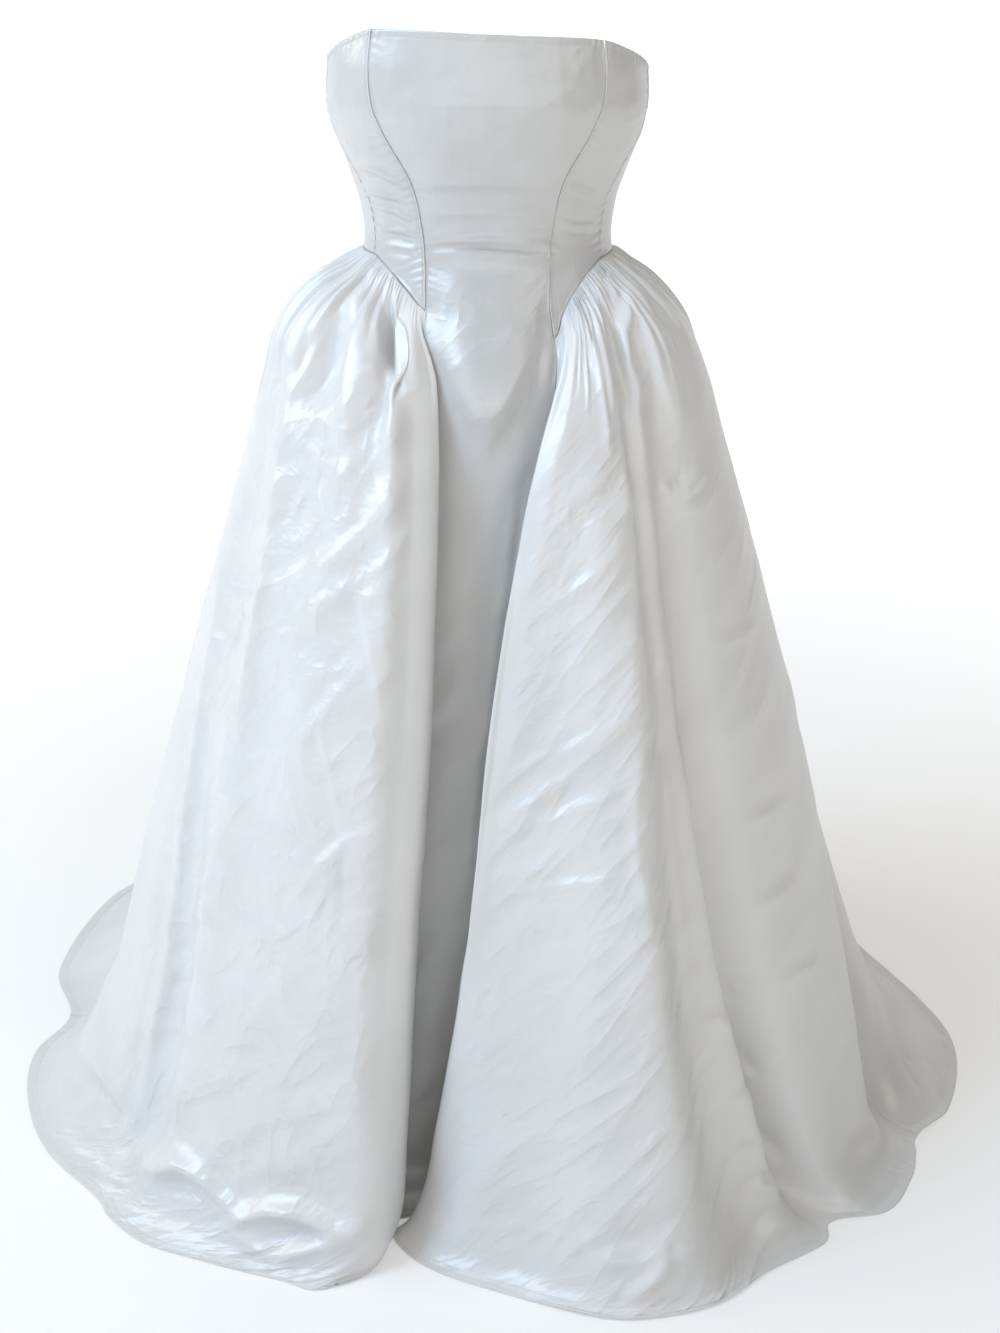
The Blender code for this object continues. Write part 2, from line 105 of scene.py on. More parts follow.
# Folds of the skirt from the front panel to the centre back: the angle of each line and its
# reach, a share of the ring, at each of the fold levels.
foldLevels = (0.0, 0.08, 0.20, 0.40, 0.60, 0.80, 0.90, 1.0)
rightFrontFolds = (
    ("panelSeam", (26.7, 19.9, 21.2, 18.0, 17.6, 19.1, 19.1, 15.0),
     (1, 0.821, 0.676, 0.641, 0.639, 0.608, 0.594, 0.672)),
    ("wall", (29.5, 16.6, 13.3, 12.4, 13.0, 13.3, 13.7, 14.8),
     (1, 0.915, 0.90, 0.90, 0.905, 0.865, 0.82, 0.77)),
    ("lip", (32.5, 20.3, 17.3, 15.7, 15.8, 15.0, 14.3, 14.8),
     (1, 0.98, 0.96, 0.952, 0.953, 0.94, 0.925, 0.88)),
    ("crest", (37, 24, 21, 19, 18.5, 17.5, 17, 18),
     (1, 1.035, 1.0, 0.985, 0.98, 0.97, 0.96, 0.95)),
    ("darkPleat", (45, 30, 28, 27, 27, 26, 26, 24),
     (1, 0.93, 0.985, 0.995, 0.99, 0.98, 0.97, 0.955)),
    ("puff", (50, 39, 34.5, 36, 35, 34, 34, 34),
     (1, 1.035, 1.01, 1.0, 0.99, 0.98, 0.975, 0.967)),
    ("greyPleat", (57, 52, 47, 45, 43, 42, 42, 42),
     (1, 0.955, 0.97, 0.985, 0.985, 0.985, 0.985, 0.985)),
    ("outerRidge", (62, 61, 57, 54, 51, 49, 49, 49),
     (1, 1.01, 1.01, 1.0, 0.995, 0.99, 0.98, 0.97)),
    ("sideValley", (68, 70, 67, 65, 59, 56, 55, 53.5),
     (1, 0.985, 0.985, 0.965, 0.94, 0.92, 0.925, 0.95)),
    ("sideRidge", (75, 79, 76, 74, 69, 66, 66, 67),
     (1, 1.01, 1.0, 1.0, 0.99, 0.975, 0.97, 0.965)),
    ("sideFold", (82, 88, 88, 86, 84, 82, 82, 83),
     (1, 1.0, 1.0, 1.0, 1.0, 0.99, 0.985, 0.98)),
    ("sideEnd", (89, 97, 98, 96, 95, 94, 94, 93),
     (1, 1.0, 1.0, 1.0, 1.0, 1.0, 0.995, 0.99)),
    ("sideSeam", (97, 107, 108, 107, 104, 102, 101, 99.5),
     (1, 0.99, 0.985, 0.975, 0.965, 0.96, 0.955, 0.955)),
)
rightBackFolds = (
    ("hipRidge", (108, 117, 118, 117, 114, 111, 109, 107),
     (1, 1.01, 1.01, 1.01, 1.02, 1.035, 1.045, 1.05)),
    ("hipFold", (119, 126, 128, 128, 126, 124, 124, 122),
     (1, 1.0, 1.0, 1.01, 1.02, 1.04, 1.07, 1.095)),
    ("backValley", (130, 137, 139, 140, 139, 138, 138, 138),
     (1, 0.99, 0.97, 0.955, 0.95, 0.96, 0.99, 1.0)),
    ("trainRidge", (143, 149, 150, 152, 152, 151, 151, 151),
     (1, 1.01, 1.01, 1.03, 1.04, 1.04, 1.05, 1.05)),
    ("trainValley", (157, 161, 163, 164, 164, 164, 164, 164),
     (1, 0.99, 0.97, 0.95, 0.94, 0.95, 0.97, 0.98)),
    ("centreBack", (180, 180, 180, 180, 180, 180, 180, 180),
     (1, 1.0, 1.01, 1.02, 1.03, 1.03, 1.03, 1.02)),
)
leftFrontFolds = (
    ("panelSeam", (26.7, 22.2, 26.0, 23.3, 19.8, 15.2, 12.3, 5.3),
     (1, 0.834, 0.675, 0.626, 0.585, 0.526, 0.501, 0.543)),
    ("wall", (29.0, 19.6, 16.5, 11.5, 7.5, 2.0, -1.0, -6.8),
     (1, 0.92, 0.80, 0.76, 0.73, 0.62, 0.58, 0.632)),
    ("lip", (31.5, 18.5, 8.0, 0.0, -3.5, -8.5, -11.0, -13.9),
     (1, 1.0, 0.95, 0.92, 0.87, 0.80, 0.75, 0.747)),
    ("lipFront", (34, 21.5, 11.5, 3.5, 0.0, -4.0, -6.0, -9.2),
     (1, 1.02, 0.96, 0.915, 0.87, 0.845, 0.83, 0.82)),
    ("lobeCrest", (37, 25.5, 19.3, 12.6, 9.1, 5.4, 4.3, 3.1),
     (1, 1.03, 0.985, 0.945, 0.922, 0.912, 0.91, 0.935)),
    ("lobeFront", (40, 29.5, 25.8, 20.6, 17.5, 15.6, 14.7, 13.9),
     (1, 1.035, 1.03, 1.03, 1.035, 1.04, 1.045, 1.045)),
    ("lobeEdge", (43.5, 34.4, 32.2, 27.1, 24.4, 24.3, 24.0, 23.6),
     (1, 1.035, 1.035, 1.055, 1.07, 1.08, 1.08, 1.045)),
    ("lobeValley", (47.5, 39, 36, 33, 31, 32, 33, 32),
     (1, 0.975, 0.965, 0.97, 0.965, 0.965, 0.97, 0.99)),
    ("secondRidge", (51, 43.5, 40, 37, 37.5, 40.0, 41, 40.5),
     (1, 0.99, 0.975, 0.97, 0.965, 0.965, 0.965, 0.975)),
    ("deepValley", (55, 49.5, 45, 42, 41.5, 43.5, 44.5, 44.5),
     (1, 0.955, 0.93, 0.90, 0.87, 0.85, 0.87, 0.93)),
    ("smoothStart", (58, 57, 54, 51, 50.5, 50, 50.5, 51),
     (1, 1.0, 0.975, 0.96, 0.955, 0.955, 0.965, 0.985)),
    ("smoothMiddle", (66, 67, 66, 65, 64, 61, 60, 60),
     (1, 1.01, 1.0, 0.995, 0.985, 0.97, 0.965, 0.965)),
    ("smoothEnd", (76, 79, 79, 79, 77, 72, 68, 66),
     (1, 1.01, 1.0, 1.0, 0.99, 0.975, 0.96, 0.94)),
    ("sideSeam", (88, 92, 92, 92, 90, 84, 77, 71),
     (1, 0.985, 0.97, 0.95, 0.93, 0.90, 0.90, 0.925)),
)
leftBackFolds = (
    ("hipRidge", (97, 102, 102, 101, 99, 93, 86, 80),
     (1, 1.0, 1.0, 1.0, 0.99, 0.98, 0.975, 0.975)),
    ("hipFold", (106, 112, 112, 111, 109, 105, 100, 96),
     (1, 1.01, 1.01, 1.01, 1.01, 1.01, 1.015, 1.017)),
    ("hipEnd", (115, 121, 122, 121, 119, 116, 114, 112),
     (1, 1.0, 0.99, 0.985, 0.98, 0.97, 0.965, 0.962)),
    ("backValley", (124, 130, 131, 132, 130, 128, 127, 126),
     (1, 0.99, 0.965, 0.95, 0.94, 0.94, 0.94, 0.95)),
    ("trainRidge", (136, 141, 142, 143, 143, 142, 141, 141),
     (1, 1.01, 1.02, 1.03, 1.04, 1.04, 1.05, 1.05)),
    ("trainValley", (151, 154, 156, 157, 158, 158, 158, 158),
     (1, 0.99, 0.97, 0.95, 0.94, 0.95, 0.97, 0.98)),
    ("centreBack", (180, 180, 180, 180, 180, 180, 180, 180),
     (1, 1.0, 1.01, 1.02, 1.03, 1.03, 1.03, 1.02)),
)
folds = {-1: rightFrontFolds + rightBackFolds, 1: leftFrontFolds + leftBackFolds}
sideSeamLine = {-1: len(rightFrontFolds) - 1, 1: len(leftFrontFolds) - 1}

# Bulge of the front panel between its seams: level and depth.
panelBulge = ((0.0, 0.0125), (0.04, 0.019), (0.08, 0.022), (0.12, 0.017), (0.20, 0.012),
              (0.40, 0.009), (0.70, 0.007), (1.0, 0.005))


def smooth(tableX, tableY, x):
    # a curve through the table with no overshoot
    tableX, tableY = np.asarray(tableX, float), np.asarray(tableY, float)
    step = np.diff(tableX)
    rise = np.diff(tableY) / step
    slope = np.zeros(len(tableX))
    slope[0], slope[-1] = rise[0], rise[-1]
    for i in range(1, len(tableX) - 1):
        if rise[i - 1] * rise[i] > 0:
            before, after = 2 * step[i] + step[i - 1], step[i] + 2 * step[i - 1]
            slope[i] = (before + after) / (before / rise[i - 1] + after / rise[i])
    x = np.clip(x, tableX[0], tableX[-1])
    i = np.clip(np.searchsorted(tableX, x) - 1, 0, len(step) - 1)
    t = (x - tableX[i]) / step[i]
    return (tableY[i] * (1 + 2 * t) * (1 - t) ** 2 + tableY[i + 1] * t * t * (3 - 2 * t)
            + step[i] * (slope[i] * t * (1 - t) ** 2 + slope[i + 1] * t * t * (t - 1)))


def read(table, x, column=1):
    return smooth(table[:, 0], table[:, column], x)


def through(knots, points, x):
    # a round curve through the points, which may turn back over itself
    slopes = np.gradient(points, knots, axis=0)
    i = np.clip(np.searchsorted(knots, x) - 1, 0, len(knots) - 2)
    step = (knots[i + 1] - knots[i])[:, None]
    t = ((x - knots[i]) / (knots[i + 1] - knots[i]))[:, None]
    return (points[i] * (1 + 2 * t) * (1 - t) ** 2 + points[i + 1] * t * t * (3 - 2 * t)
            + step * (slopes[i] * t * (1 - t) ** 2 + slopes[i + 1] * t * t * (t - 1)))


def easeIn(low, high, x):
    t = np.clip((x - low) / (high - low), 0, 1)
    return t * t * (3 - 2 * t)


def bodicePoint(angle, height):
    half, front, back = (read(bodiceRings, height, k) for k in (1, 2, 3))
    around = np.radians(angle)
    depth = np.where(np.cos(around) > 0, front, back)
    return np.stack([half * np.sin(around), -depth * np.cos(around), height + 0 * around], axis=-1)


def seamAngle(table, side, shift):
    def angle(height):
        half = read(bodiceRings, height)
        gap = np.degrees(gown["seamGap"] / 2 / half) * shift
        if table is None:
            return side * (180 + gap) + 0 * height
        return side * (read(table, height) + gap)
    return angle


def bodiceGrid(start, end, across, rows):
    # rows of points from the neckline to the waist seam, between two seams, and their angles
    grid, angles = [], []
    for share in np.linspace(0, 1, rows + 1):
        height = np.zeros(len(across))
        for _ in range(8):  # height and angle depend on each other and soon settle
            angle = start(height) + (end(height) - start(height)) * across
            low = read(waistSeam, angle) + gown["seamGap"] / 2
            top = read(neckline, angle)
            height = top + (low - top) * share
        grid.append(bodicePoint(angle, height))
        angles.append(angle)
    return np.array(grid), np.array(angles)


def waistLine(side, angle):
    # points on the bodice's lower edge, where the skirt hangs from it
    around, edge = lowerEdges[side]
    line = np.stack([np.interp(np.abs(angle), around, edge[:, k]) for k in range(3)], axis=1)
    line[:, 2] -= gown["seamGap"] * 1.4
    return line


def foldPoints(side, level):
    points, seamAngles = [], []
    drop, half, front, back = (float(read(skirtRings, level, k)) for k in (1, 2, 3, 4))
    for _, angles, reaches in folds[side]:
        around = math.radians(float(smooth(foldLevels, angles, level)))
        reach = float(smooth(foldLevels, reaches, level))
        depth = front if math.cos(around) > 0 else back
        seamHeight = float(read(waistSeam, side * angles[0]))
        height = (gown["waistHeight"] + seamHeight) * (1 - drop)
        points.append((side * reach * half * math.sin(around),
                       -reach * depth * math.cos(around), height - gown["waistHeight"]))
        seamAngles.append(side * angles[0])
    return np.array(points), np.array(seamAngles)


def foldKnots(side):
    total = 0
    for level in (0.12, 0.35, 0.6, 0.85):
        steps = np.linalg.norm(np.diff(foldPoints(side, level)[0], axis=0), axis=1)
        total = total + steps / steps.sum()
    return np.concatenate([[0], np.cumsum(total)]) / total.sum()


def skirtRow(side, level, across):
    knots = foldKnotsOf[side]
    points, seamAngles = foldPoints(side, level)
    row = through(knots, points, across)
    if level < gown["fadeLevel"]:
        atSeam = foldPoints(side, 0.0)[0]
        exact = waistLine(side, np.interp(across, knots, seamAngles))
        fade = (1 - level / gown["fadeLevel"]) ** 1.5
        row = row + (exact - through(knots, atSeam, across)) * fade
    row[:, 2] = np.maximum(row[:, 2], gown["floorClearance"] - gown["waistHeight"])
    return row


def gridNormals(grid, turned):
    # unit normals of a grid of points, rows down and columns across
    across = np.gradient(grid, axis=1)
    down = np.gradient(grid, axis=0)
    normals = np.cross(across, down) if turned else np.cross(down, across)
    return normals / np.maximum(np.linalg.norm(normals, axis=2), 1e-12)[:, :, None]


def clothCoordinates(grid):
    # metres across and down the cloth for each point of a grid
    across = np.zeros(grid.shape[:2])
    across[:, 1:] = np.cumsum(np.linalg.norm(np.diff(grid, axis=1), axis=2), axis=1)
    down = np.zeros(grid.shape[:2])
    down[1:] = np.cumsum(np.linalg.norm(np.diff(grid, axis=0), axis=2), axis=0)
    return across, down


def noiseCells(x, y, seed):
    # random values at a cell's four corners, and the place in the cell
    table = np.random.default_rng(seed).uniform(-1, 1, (64, 64))
    cellX, cellY = np.floor(x).astype(int), np.floor(y).astype(int)
    near, far = cellX % 64, (cellX + 1) % 64
    above, below = cellY % 64, (cellY + 1) % 64
    corners = table[near, above], table[far, above], table[near, below], table[far, below]
    return *corners, x - cellX, y - cellY


def softNoise(x, y, seed):
    # smooth noise from -1 to 1 with one hump per unit
    a, b, c, d, u, v = noiseCells(x, y, seed)
    u, v = u * u * u * (u * (u * 6 - 15) + 10), v * v * v * (v * (v * 6 - 15) + 10)
    top = a * (1 - u) + b * u
    low = c * (1 - u) + d * u
    return top * (1 - v) + low * v


def facetNoise(x, y, seed):
    # flat facets that meet in creases, from -1 to 1 and about one to a unit
    a, b, c, d, u, v = noiseCells(x + 0.5 * y, 0.87 * y, seed)
    upper = a + u * (b - a) + v * (c - a)
    lower = d + (1 - u) * (c - d) + (1 - v) * (b - d)
    return np.where(u + v < 1, upper, lower)


def turned(x, y, degrees):
    c, s = math.cos(math.radians(degrees)), math.sin(math.radians(degrees))
    return x * c + y * s, y * c - x * s


# Creases listed one by one: width and height, then the line's points, all in millimetres. A ridge
# has its trough on the right of the line's own direction.
handCreases = (
    # right lobe: its edge, the pinched ridge, pulls below the gathers
    (10, 9.0, (-301, -37, -343), (-306, -86, -418), (-330, -115, -556), (-349, -141, -674),
     (-365, -163, -782), (-383, -174, -863), (-409, -198, -992), (-452, -220, -1066)),
    (8, 6.0, (-209, -101, -162), (-218, -109, -191), (-228, -121, -241), (-235, -135, -290),
     (-246, -150, -353), (-257, -164, -414), (-269, -177, -476), (-277, -195, -542)),
    (6, 2.6, (-107, -189, -229), (-122, -180, -228), (-154, -171, -219), (-177, -146, -213),
     (-205, -122, -202)),
    (5, 1.4, (-149, -172, -209), (-169, -151, -202), (-187, -131, -201)),
    (5, 1.2, (-177, -151, -223), (-196, -146, -252), (-213, -145, -279)),
    # right lobe: lit diagonals, the angle between them, the long diagonal
    (9, 2.6, (-112, -201, -268), (-137, -197, -286), (-177, -191, -319), (-214, -170, -346)),
    (10, 3.0, (-132, -210, -323), (-166, -208, -349), (-203, -192, -379)),
    (6, 2.2, (-135, -212, -330), (-127, -226, -365), (-117, -244, -415), (-111, -259, -466)),
    (6, 2.4, (-79, -199, -270), (-93, -210, -290), (-112, -214, -309), (-135, -212, -330)),
    (9, 3.0, (-121, -237, -394), (-147, -240, -431), (-178, -241, -472), (-210, -236, -514)),
    (5, 1.2, (-178, -241, -472), (-173, -251, -498), (-170, -261, -528)),
    # dents of the wearer's right side
    (7, -4.6, (-298, -82, -386), (-279, -106, -375), (-260, -140, -362)),
    (6, -4.2, (-287, -109, -409), (-267, -143, -394), (-251, -161, -391)),
    (7, -4.6, (-302, -97, -435), (-279, -132, -419), (-257, -161, -407)),
    (6, -1.6, (-320, -102, -499), (-307, -120, -504), (-287, -161, -495)),
    # right lobe: the sharp fold and its lines, the soft ridge, the lower diagonal
    (6, 2.8, (-102, -285, -565), (-132, -288, -582), (-154, -286, -594), (-190, -285, -640),
     (-212, -283, -669), (-228, -283, -700)),
    (5, 1.5, (-174, -249, -493), (-163, -268, -543), (-154, -286, -594)),
    (5, -1.6, (-154, -287, -598), (-155, -303, -657), (-161, -315, -707)),
    (5, 1.3, (-215, -239, -533), (-210, -252, -563), (-199, -267, -593), (-190, -281, -625)),
    (5, 1.6, (-225, -233, -536), (-248, -220, -553), (-269, -212, -574)),
    (9, 2.4, (-238, -257, -638), (-262, -247, -661), (-290, -233, -680), (-318, -203, -690)),
    (6, 1.4, (-165, -300, -659), (-190, -296, -678), (-227, -284, -700)),
    (9, 2.2, (-165, -316, -718), (-213, -305, -747), (-253, -297, -798), (-292, -288, -852)),
    (6, 1.6, (-127, -335, -757), (-154, -336, -777), (-208, -320, -790), (-245, -306, -811)),
    (6, 1.4, (-122, -348, -812), (-138, -352, -831), (-155, -354, -850)),
    (5, 1.3, (-160, -365, -900), (-185, -355, -891), (-206, -345, -882), (-238, -332, -891)),
    (6, 1.5, (-160, -365, -900), (-184, -363, -922), (-209, -360, -948)),
    # breaks and crumples above the right lobe's hem
    (16, 11.0, (-266, -356, -1024), (-297, -340, -1021), (-315, -326, -1011), (-335, -310, -1003),
     (-351, -297, -1000), (-381, -275, -1022), (-419, -243, -1060), (-456, -224, -1071)),
    (14, 10.0, (-127, -391, -1010), (-149, -393, -1017), (-170, -391, -1022), (-195, -382, -1017),
     (-219, -372, -1011), (-242, -364, -1016), (-270, -357, -1031), (-297, -349, -1043)),
    (11, 7.0, (-303, -349, -1048), (-275, -364, -1055), (-252, -378, -1061), (-242, -390, -1073)),
    (11, 7.0, (-165, -394, -1028), (-196, -391, -1042), (-225, -386, -1059), (-241, -391, -1073)),
    (6, 2.0, (-309, -344, -1043), (-334, -325, -1034), (-386, -288, -1045)),
    (5, 1.6, (-236, -355, -968), (-263, -339, -963), (-284, -332, -976), (-315, -320, -994)),
    # break, ridge and line of the right side's hem
    (11, 6.0, (-422, -188, -995), (-442, -168, -988), (-468, -122, -991), (-496, -72, -1018),
     (-526, -23, -1046)),
    (10, 5.5, (-475, -43, -946), (-511, 10, -1022), (-534, -4, -1054), (-561, -50, -1073)),
    (6, 1.8, (-441, -118, -906), (-436, -140, -926), (-419, -168, -937)),
    # left lobe: the lip's line, the curl, upper diagonals
    (5, -2.2, (46, -141, -195), (34, -143, -282), (25, -155, -364), (16, -247, -424),
     (7, -270, -504), (-4, -282, -583), (-18, -210, -716)),
    (5, 1.6, (81, -207, -266), (93, -211, -282), (104, -211, -287), (118, -210, -294)),
    (5, 1.8, (135, -207, -303), (113, -219, -319), (84, -229, -336), (56, -235, -351)),
    (6, 2.2, (158, -244, -457), (131, -260, -466), (104, -272, -484), (78, -280, -499)),
    (7, 1.6, (153, -225, -388), (134, -239, -405), (107, -255, -432)),
    (6, 1.4, (82, -252, -406), (65, -255, -415), (51, -257, -422)),
    # drape pocket of the wearer's left side
    (10, 6.0, (233, -105, -235), (221, -120, -248), (209, -130, -255), (194, -137, -256),
     (179, -141, -237)),
    (7, 2.6, (247, -101, -263), (228, -124, -272), (211, -135, -274), (189, -145, -278)),
    # left lobe: diagonals, the long thin fold, the long line and short ones
    (5, 2.0, (115, -269, -483), (83, -279, -497), (50, -284, -511), (22, -284, -528)),
    (7, 2.0, (57, -294, -551), (42, -295, -556), (26, -294, -565), (1, -289, -587)),
    (7, 2.6, (154, -268, -522), (134, -279, -535), (103, -292, -553), (78, -300, -568),
     (52, -302, -578), (11, -295, -587)),
    (5, 2.2, (158, -294, -612), (145, -302, -620), (118, -311, -626), (84, -318, -636),
     (50, -319, -645), (18, -316, -656), (-13, -300, -674)),
    (5, 1.5, (42, -319, -649), (35, -329, -690), (26, -335, -720), (16, -338, -744),
     (3, -345, -786), (-6, -351, -827), (-20, -355, -870)),
    (5, 1.4, (13, -338, -744), (-9, -330, -763), (-36, -223, -841)),
    (5, 1.5, (120, -329, -688), (99, -334, -698), (75, -337, -705), (45, -338, -717)),
    (5, 1.2, (58, -356, -776), (38, -353, -779), (18, -350, -784)),
    (5, 1.2, (111, -353, -766), (104, -366, -812), (97, -379, -856)),
    (5, 1.6, (118, -377, -856), (97, -378, -853), (45, -374, -849), (4, -364, -854),
     (-36, -336, -873)),
    (5, 1.2, (104, -367, -815), (83, -367, -812), (62, -364, -805)),
    (8, 1.8, (121, -389, -897), (78, -400, -934), (35, -403, -971), (-9, -399, -1007),
     (-54, -372, -1037)),
    # folds, crumples and glints above the left lobe's hem
    (6, 2.2, (100, -426, -1020), (67, -421, -1014), (35, -414, -1016), (2, -408, -1028),
     (-21, -397, -1027)),
    (13, 9.0, (201, -408, -1020), (171, -419, -1022), (143, -426, -1026), (104, -428, -1026)),
    (12, 10.0, (201, -408, -1021), (182, -424, -1040), (159, -441, -1060), (145, -450, -1070)),
    (6, 2.0, (143, -416, -998), (115, -421, -1005), (92, -425, -1020)),
    (5, 2.4, (186, -366, -883), (170, -379, -902), (159, -384, -909)),
    (5, 2.2, (179, -396, -964), (163, -401, -965), (145, -406, -966)),
    # shaded ridge and lit bulge beside the left lobe
    (6, 2.6, (227, -308, -812), (213, -285, -710), (196, -260, -597), (188, -234, -500),
     (183, -210, -417)),
    (7, 2.0, (162, -253, -491), (157, -267, -525), (156, -282, -571), (159, -293, -612),
     (173, -302, -663), (163, -315, -686)),
    # glints and bright folds of the wearer's left side, its lines and soft folds
    (5, 2.6, (274, -235, -835), (254, -288, -809), (238, -303, -816)),
    (6, 2.8, (307, -247, -929), (284, -298, -906), (269, -313, -910)),
    (5, 2.2, (303, -305, -968), (285, -320, -965), (270, -332, -969)),
    (9, 6.0, (336, -265, -1034), (307, -321, -1011), (281, -344, -1017)),
    (9, 6.0, (343, -321, -1057), (320, -335, -1051), (302, -349, -1050)),
    (8, 3.0, (340, -328, -1060), (317, -354, -1064), (288, -381, -1070), (261, -415, -1074)),
    (5, 1.6, (270, -97, -317), (252, -123, -329), (230, -150, -356)),
    (6, 1.5, (306, -93, -418), (273, -138, -420), (237, -163, -416)),
    (9, 2.0, (292, -147, -492), (275, -171, -517), (249, -187, -531)),
    (9, 2.2, (353, -166, -713), (323, -199, -712), (293, -215, -719)),
    (8, 2.4, (396, -154, -824), (360, -197, -808), (325, -228, -808)),
    (9, 2.0, (340, -143, -618), (309, -178, -619), (282, -197, -620)),
    (9, 4.5, (467, -183, -1053), (445, -209, -1043), (424, -231, -1033)),
    # train on the wearer's right
    (10, 5.5, (535, 221, -1073), (502, 9, -1010), (529, -20, -1053), (558, -48, -1073)),
    (10, 5.0, (494, -59, -1038), (511, -106, -1071), (515, -167, -1077)),
    (10, 5.0, (567, -50, -1074), (540, -71, -1070), (513, -91, -1065)),
    # valleys and ridges of the gathers
    (17, -20.0, (-115, -68, -37), (-105, -105, -74), (-100, -138, -112), (-87, -163, -141)),
    (21, -18.0, (-125, -57, -31), (-148, -100, -76), (-171, -103, -124), (-190, -116, -167)),
    (6, 4.0, (-129, -48, -26), (-165, -84, -80), (-194, -100, -132), (-211, -97, -159),
     (-221, -116, -213)),
    (8, -4.0, (-186, -73, -90), (-197, -86, -121), (-208, -96, -151)),
    (5, -4.5, (78, -98, -79), (74, -109, -101), (67, -125, -143)),
    (6, 4.5, (127, -177, -205), (124, -164, -165), (115, -138, -115), (109, -121, -95),
     (95, -89, -60)),
    (7, -5.0, (121, -86, -59), (135, -107, -91), (141, -123, -122), (149, -140, -163)),
    (7, 4.0, (145, -70, -51), (166, -86, -90), (179, -98, -122), (196, -111, -171)),
    (8, -5.0, (162, -51, -50), (192, -76, -93), (209, -87, -134), (221, -98, -185)),
    # pocket's rims, the puff beside it, the valley's rim
    (5, 3.0, (-92, -162, -141), (-101, -148, -132), (-112, -121, -105), (-115, -106, -75),
     (-112, -80, -43)),
    (5, 4.0, (-98, -79, -43), (-96, -112, -74), (-88, -148, -115), (-81, -157, -143)),
    (9, 5.0, (-83, -97, -62), (-80, -121, -93), (-76, -136, -121), (-74, -147, -141)),
    (6, 4.5, (-136, -64, -42), (-144, -101, -76), (-154, -123, -113), (-168, -129, -150),
     (-186, -127, -190)),
    # glints, ridges and valleys of the left gathers
    (3, 2.6, (127, -57, -35), (128, -62, -40), (132, -65, -46)),
    (3, 2.6, (130, -67, -46), (133, -74, -50), (138, -78, -57)),
    (3, 2.4, (107, -75, -46), (113, -78, -50), (119, -81, -52)),
    (3, 2.4, (94, -82, -52), (99, -86, -55), (104, -91, -59)),
    (7, 4.0, (85, -88, -61), (98, -107, -79), (109, -124, -96), (115, -135, -114)),
    (7, -7.0, (120, -82, -52), (131, -110, -95), (142, -127, -129), (150, -138, -157)),
    (8, 5.0, (148, -49, -43), (149, -91, -79), (148, -117, -106), (144, -126, -128)),
    (6, -5.0, (159, -78, -67), (153, -98, -93), (157, -106, -109), (166, -106, -122)),
    (9, 4.5, (170, -97, -111), (166, -113, -135), (158, -136, -157)),
    (5, -3.0, (170, -45, -54), (182, -60, -76), (196, -60, -86), (208, -46, -93)),
    # ridges of the hem and the train
    (10, 8.0, (-462, -220, -1072), (-413, -236, -1054), (-347, -300, -999), (-316, -323, -1005),
     (-286, -348, -1026), (-246, -379, -1059), (-239, -388, -1069)),
    (9, 8.0, (-296, -350, -1043), (-241, -364, -1013), (-199, -380, -1012), (-171, -391, -1021),
     (-132, -390, -1014)),
    (8, 6.0, (-132, -391, -1016), (-171, -395, -1034), (-217, -389, -1057), (-239, -391, -1073)),
    (8, 6.0, (-419, -83, -788), (-446, -90, -888), (-517, 17, -1029), (-559, -36, -1072)),
    (10, 5.0, (-516, -39, -1036), (-476, -110, -999), (-439, -173, -998), (-428, -192, -1016),
     (-437, -206, -1047)),
    # waist and bust
    (4, 3.2, (-74, -80, 1), (-64, -84, 2), (-34, -93, 6), (3, -96, 7), (39, -92, 3), (66, -84, -3),
     (76, -80, -4)),
    (20, 3.2, (112, -76, 140), (70, -105, 144), (0, -124, 146), (-70, -105, 144), (-112, -76, 140)),
    (3, -2.4, (-74, -80, -6), (-63, -84, -5), (-34, -92, -1), (3, -96, -2), (39, -92, -6),
     (66, -83, -11), (76, -80, -12)),
    (6, 2.2, (-75, -91, 61), (-38, -104, 66), (3, -107, 66), (44, -101, 62), (75, -89, 56)),
    (6, 2.0, (-70, -85, 29), (-38, -96, 34), (3, -100, 35), (65, -87, 27)),
    # pulls of the front panel, then of the side fronts
    (2.4, 0.6, (67, -88, 39), (44, -96, 39), (13, -100, 37)),
    (2.4, 0.6, (67, -85, 23), (34, -95, 24), (-1, -97, 21)),
    (2.4, 0.6, (67, -84, 12), (49, -90, 15), (25, -95, 16)),
    (5, 3.4, (-137, -46, 76), (-111, -73, 72), (-82, -87, 59)),
    (3.5, 2.8, (-119, -50, 34), (-96, -70, 31), (-74, -82, 22)),
    (3.5, 3.2, (-116, -48, 10), (-92, -70, 11), (-71, -81, 7)),
    (3.2, 2.8, (-114, -50, -7), (-92, -70, -6), (-69, -82, -8)),
    (3.5, 2.6, (-128, -45, 49), (-107, -67, 46), (-86, -80, 45)),
    (4, 2.4, (77, -90, 61), (96, -78, 55), (121, -51, 43)),
    (3.5, 2.2, (71, -83, 23), (91, -71, 16), (117, -47, 12)),
)


# How a crease is formed: lengths in its widths, but the reach in depth is in millimetres.
creaseForm = {
    "reach": 4,
    "depthReach": 45,
    "roundness": 1.5,
    "taper": 0.85,
    "troughPlace": 1.6,
    "troughWidth": 1.5,
    "troughShare": 0.55,
}


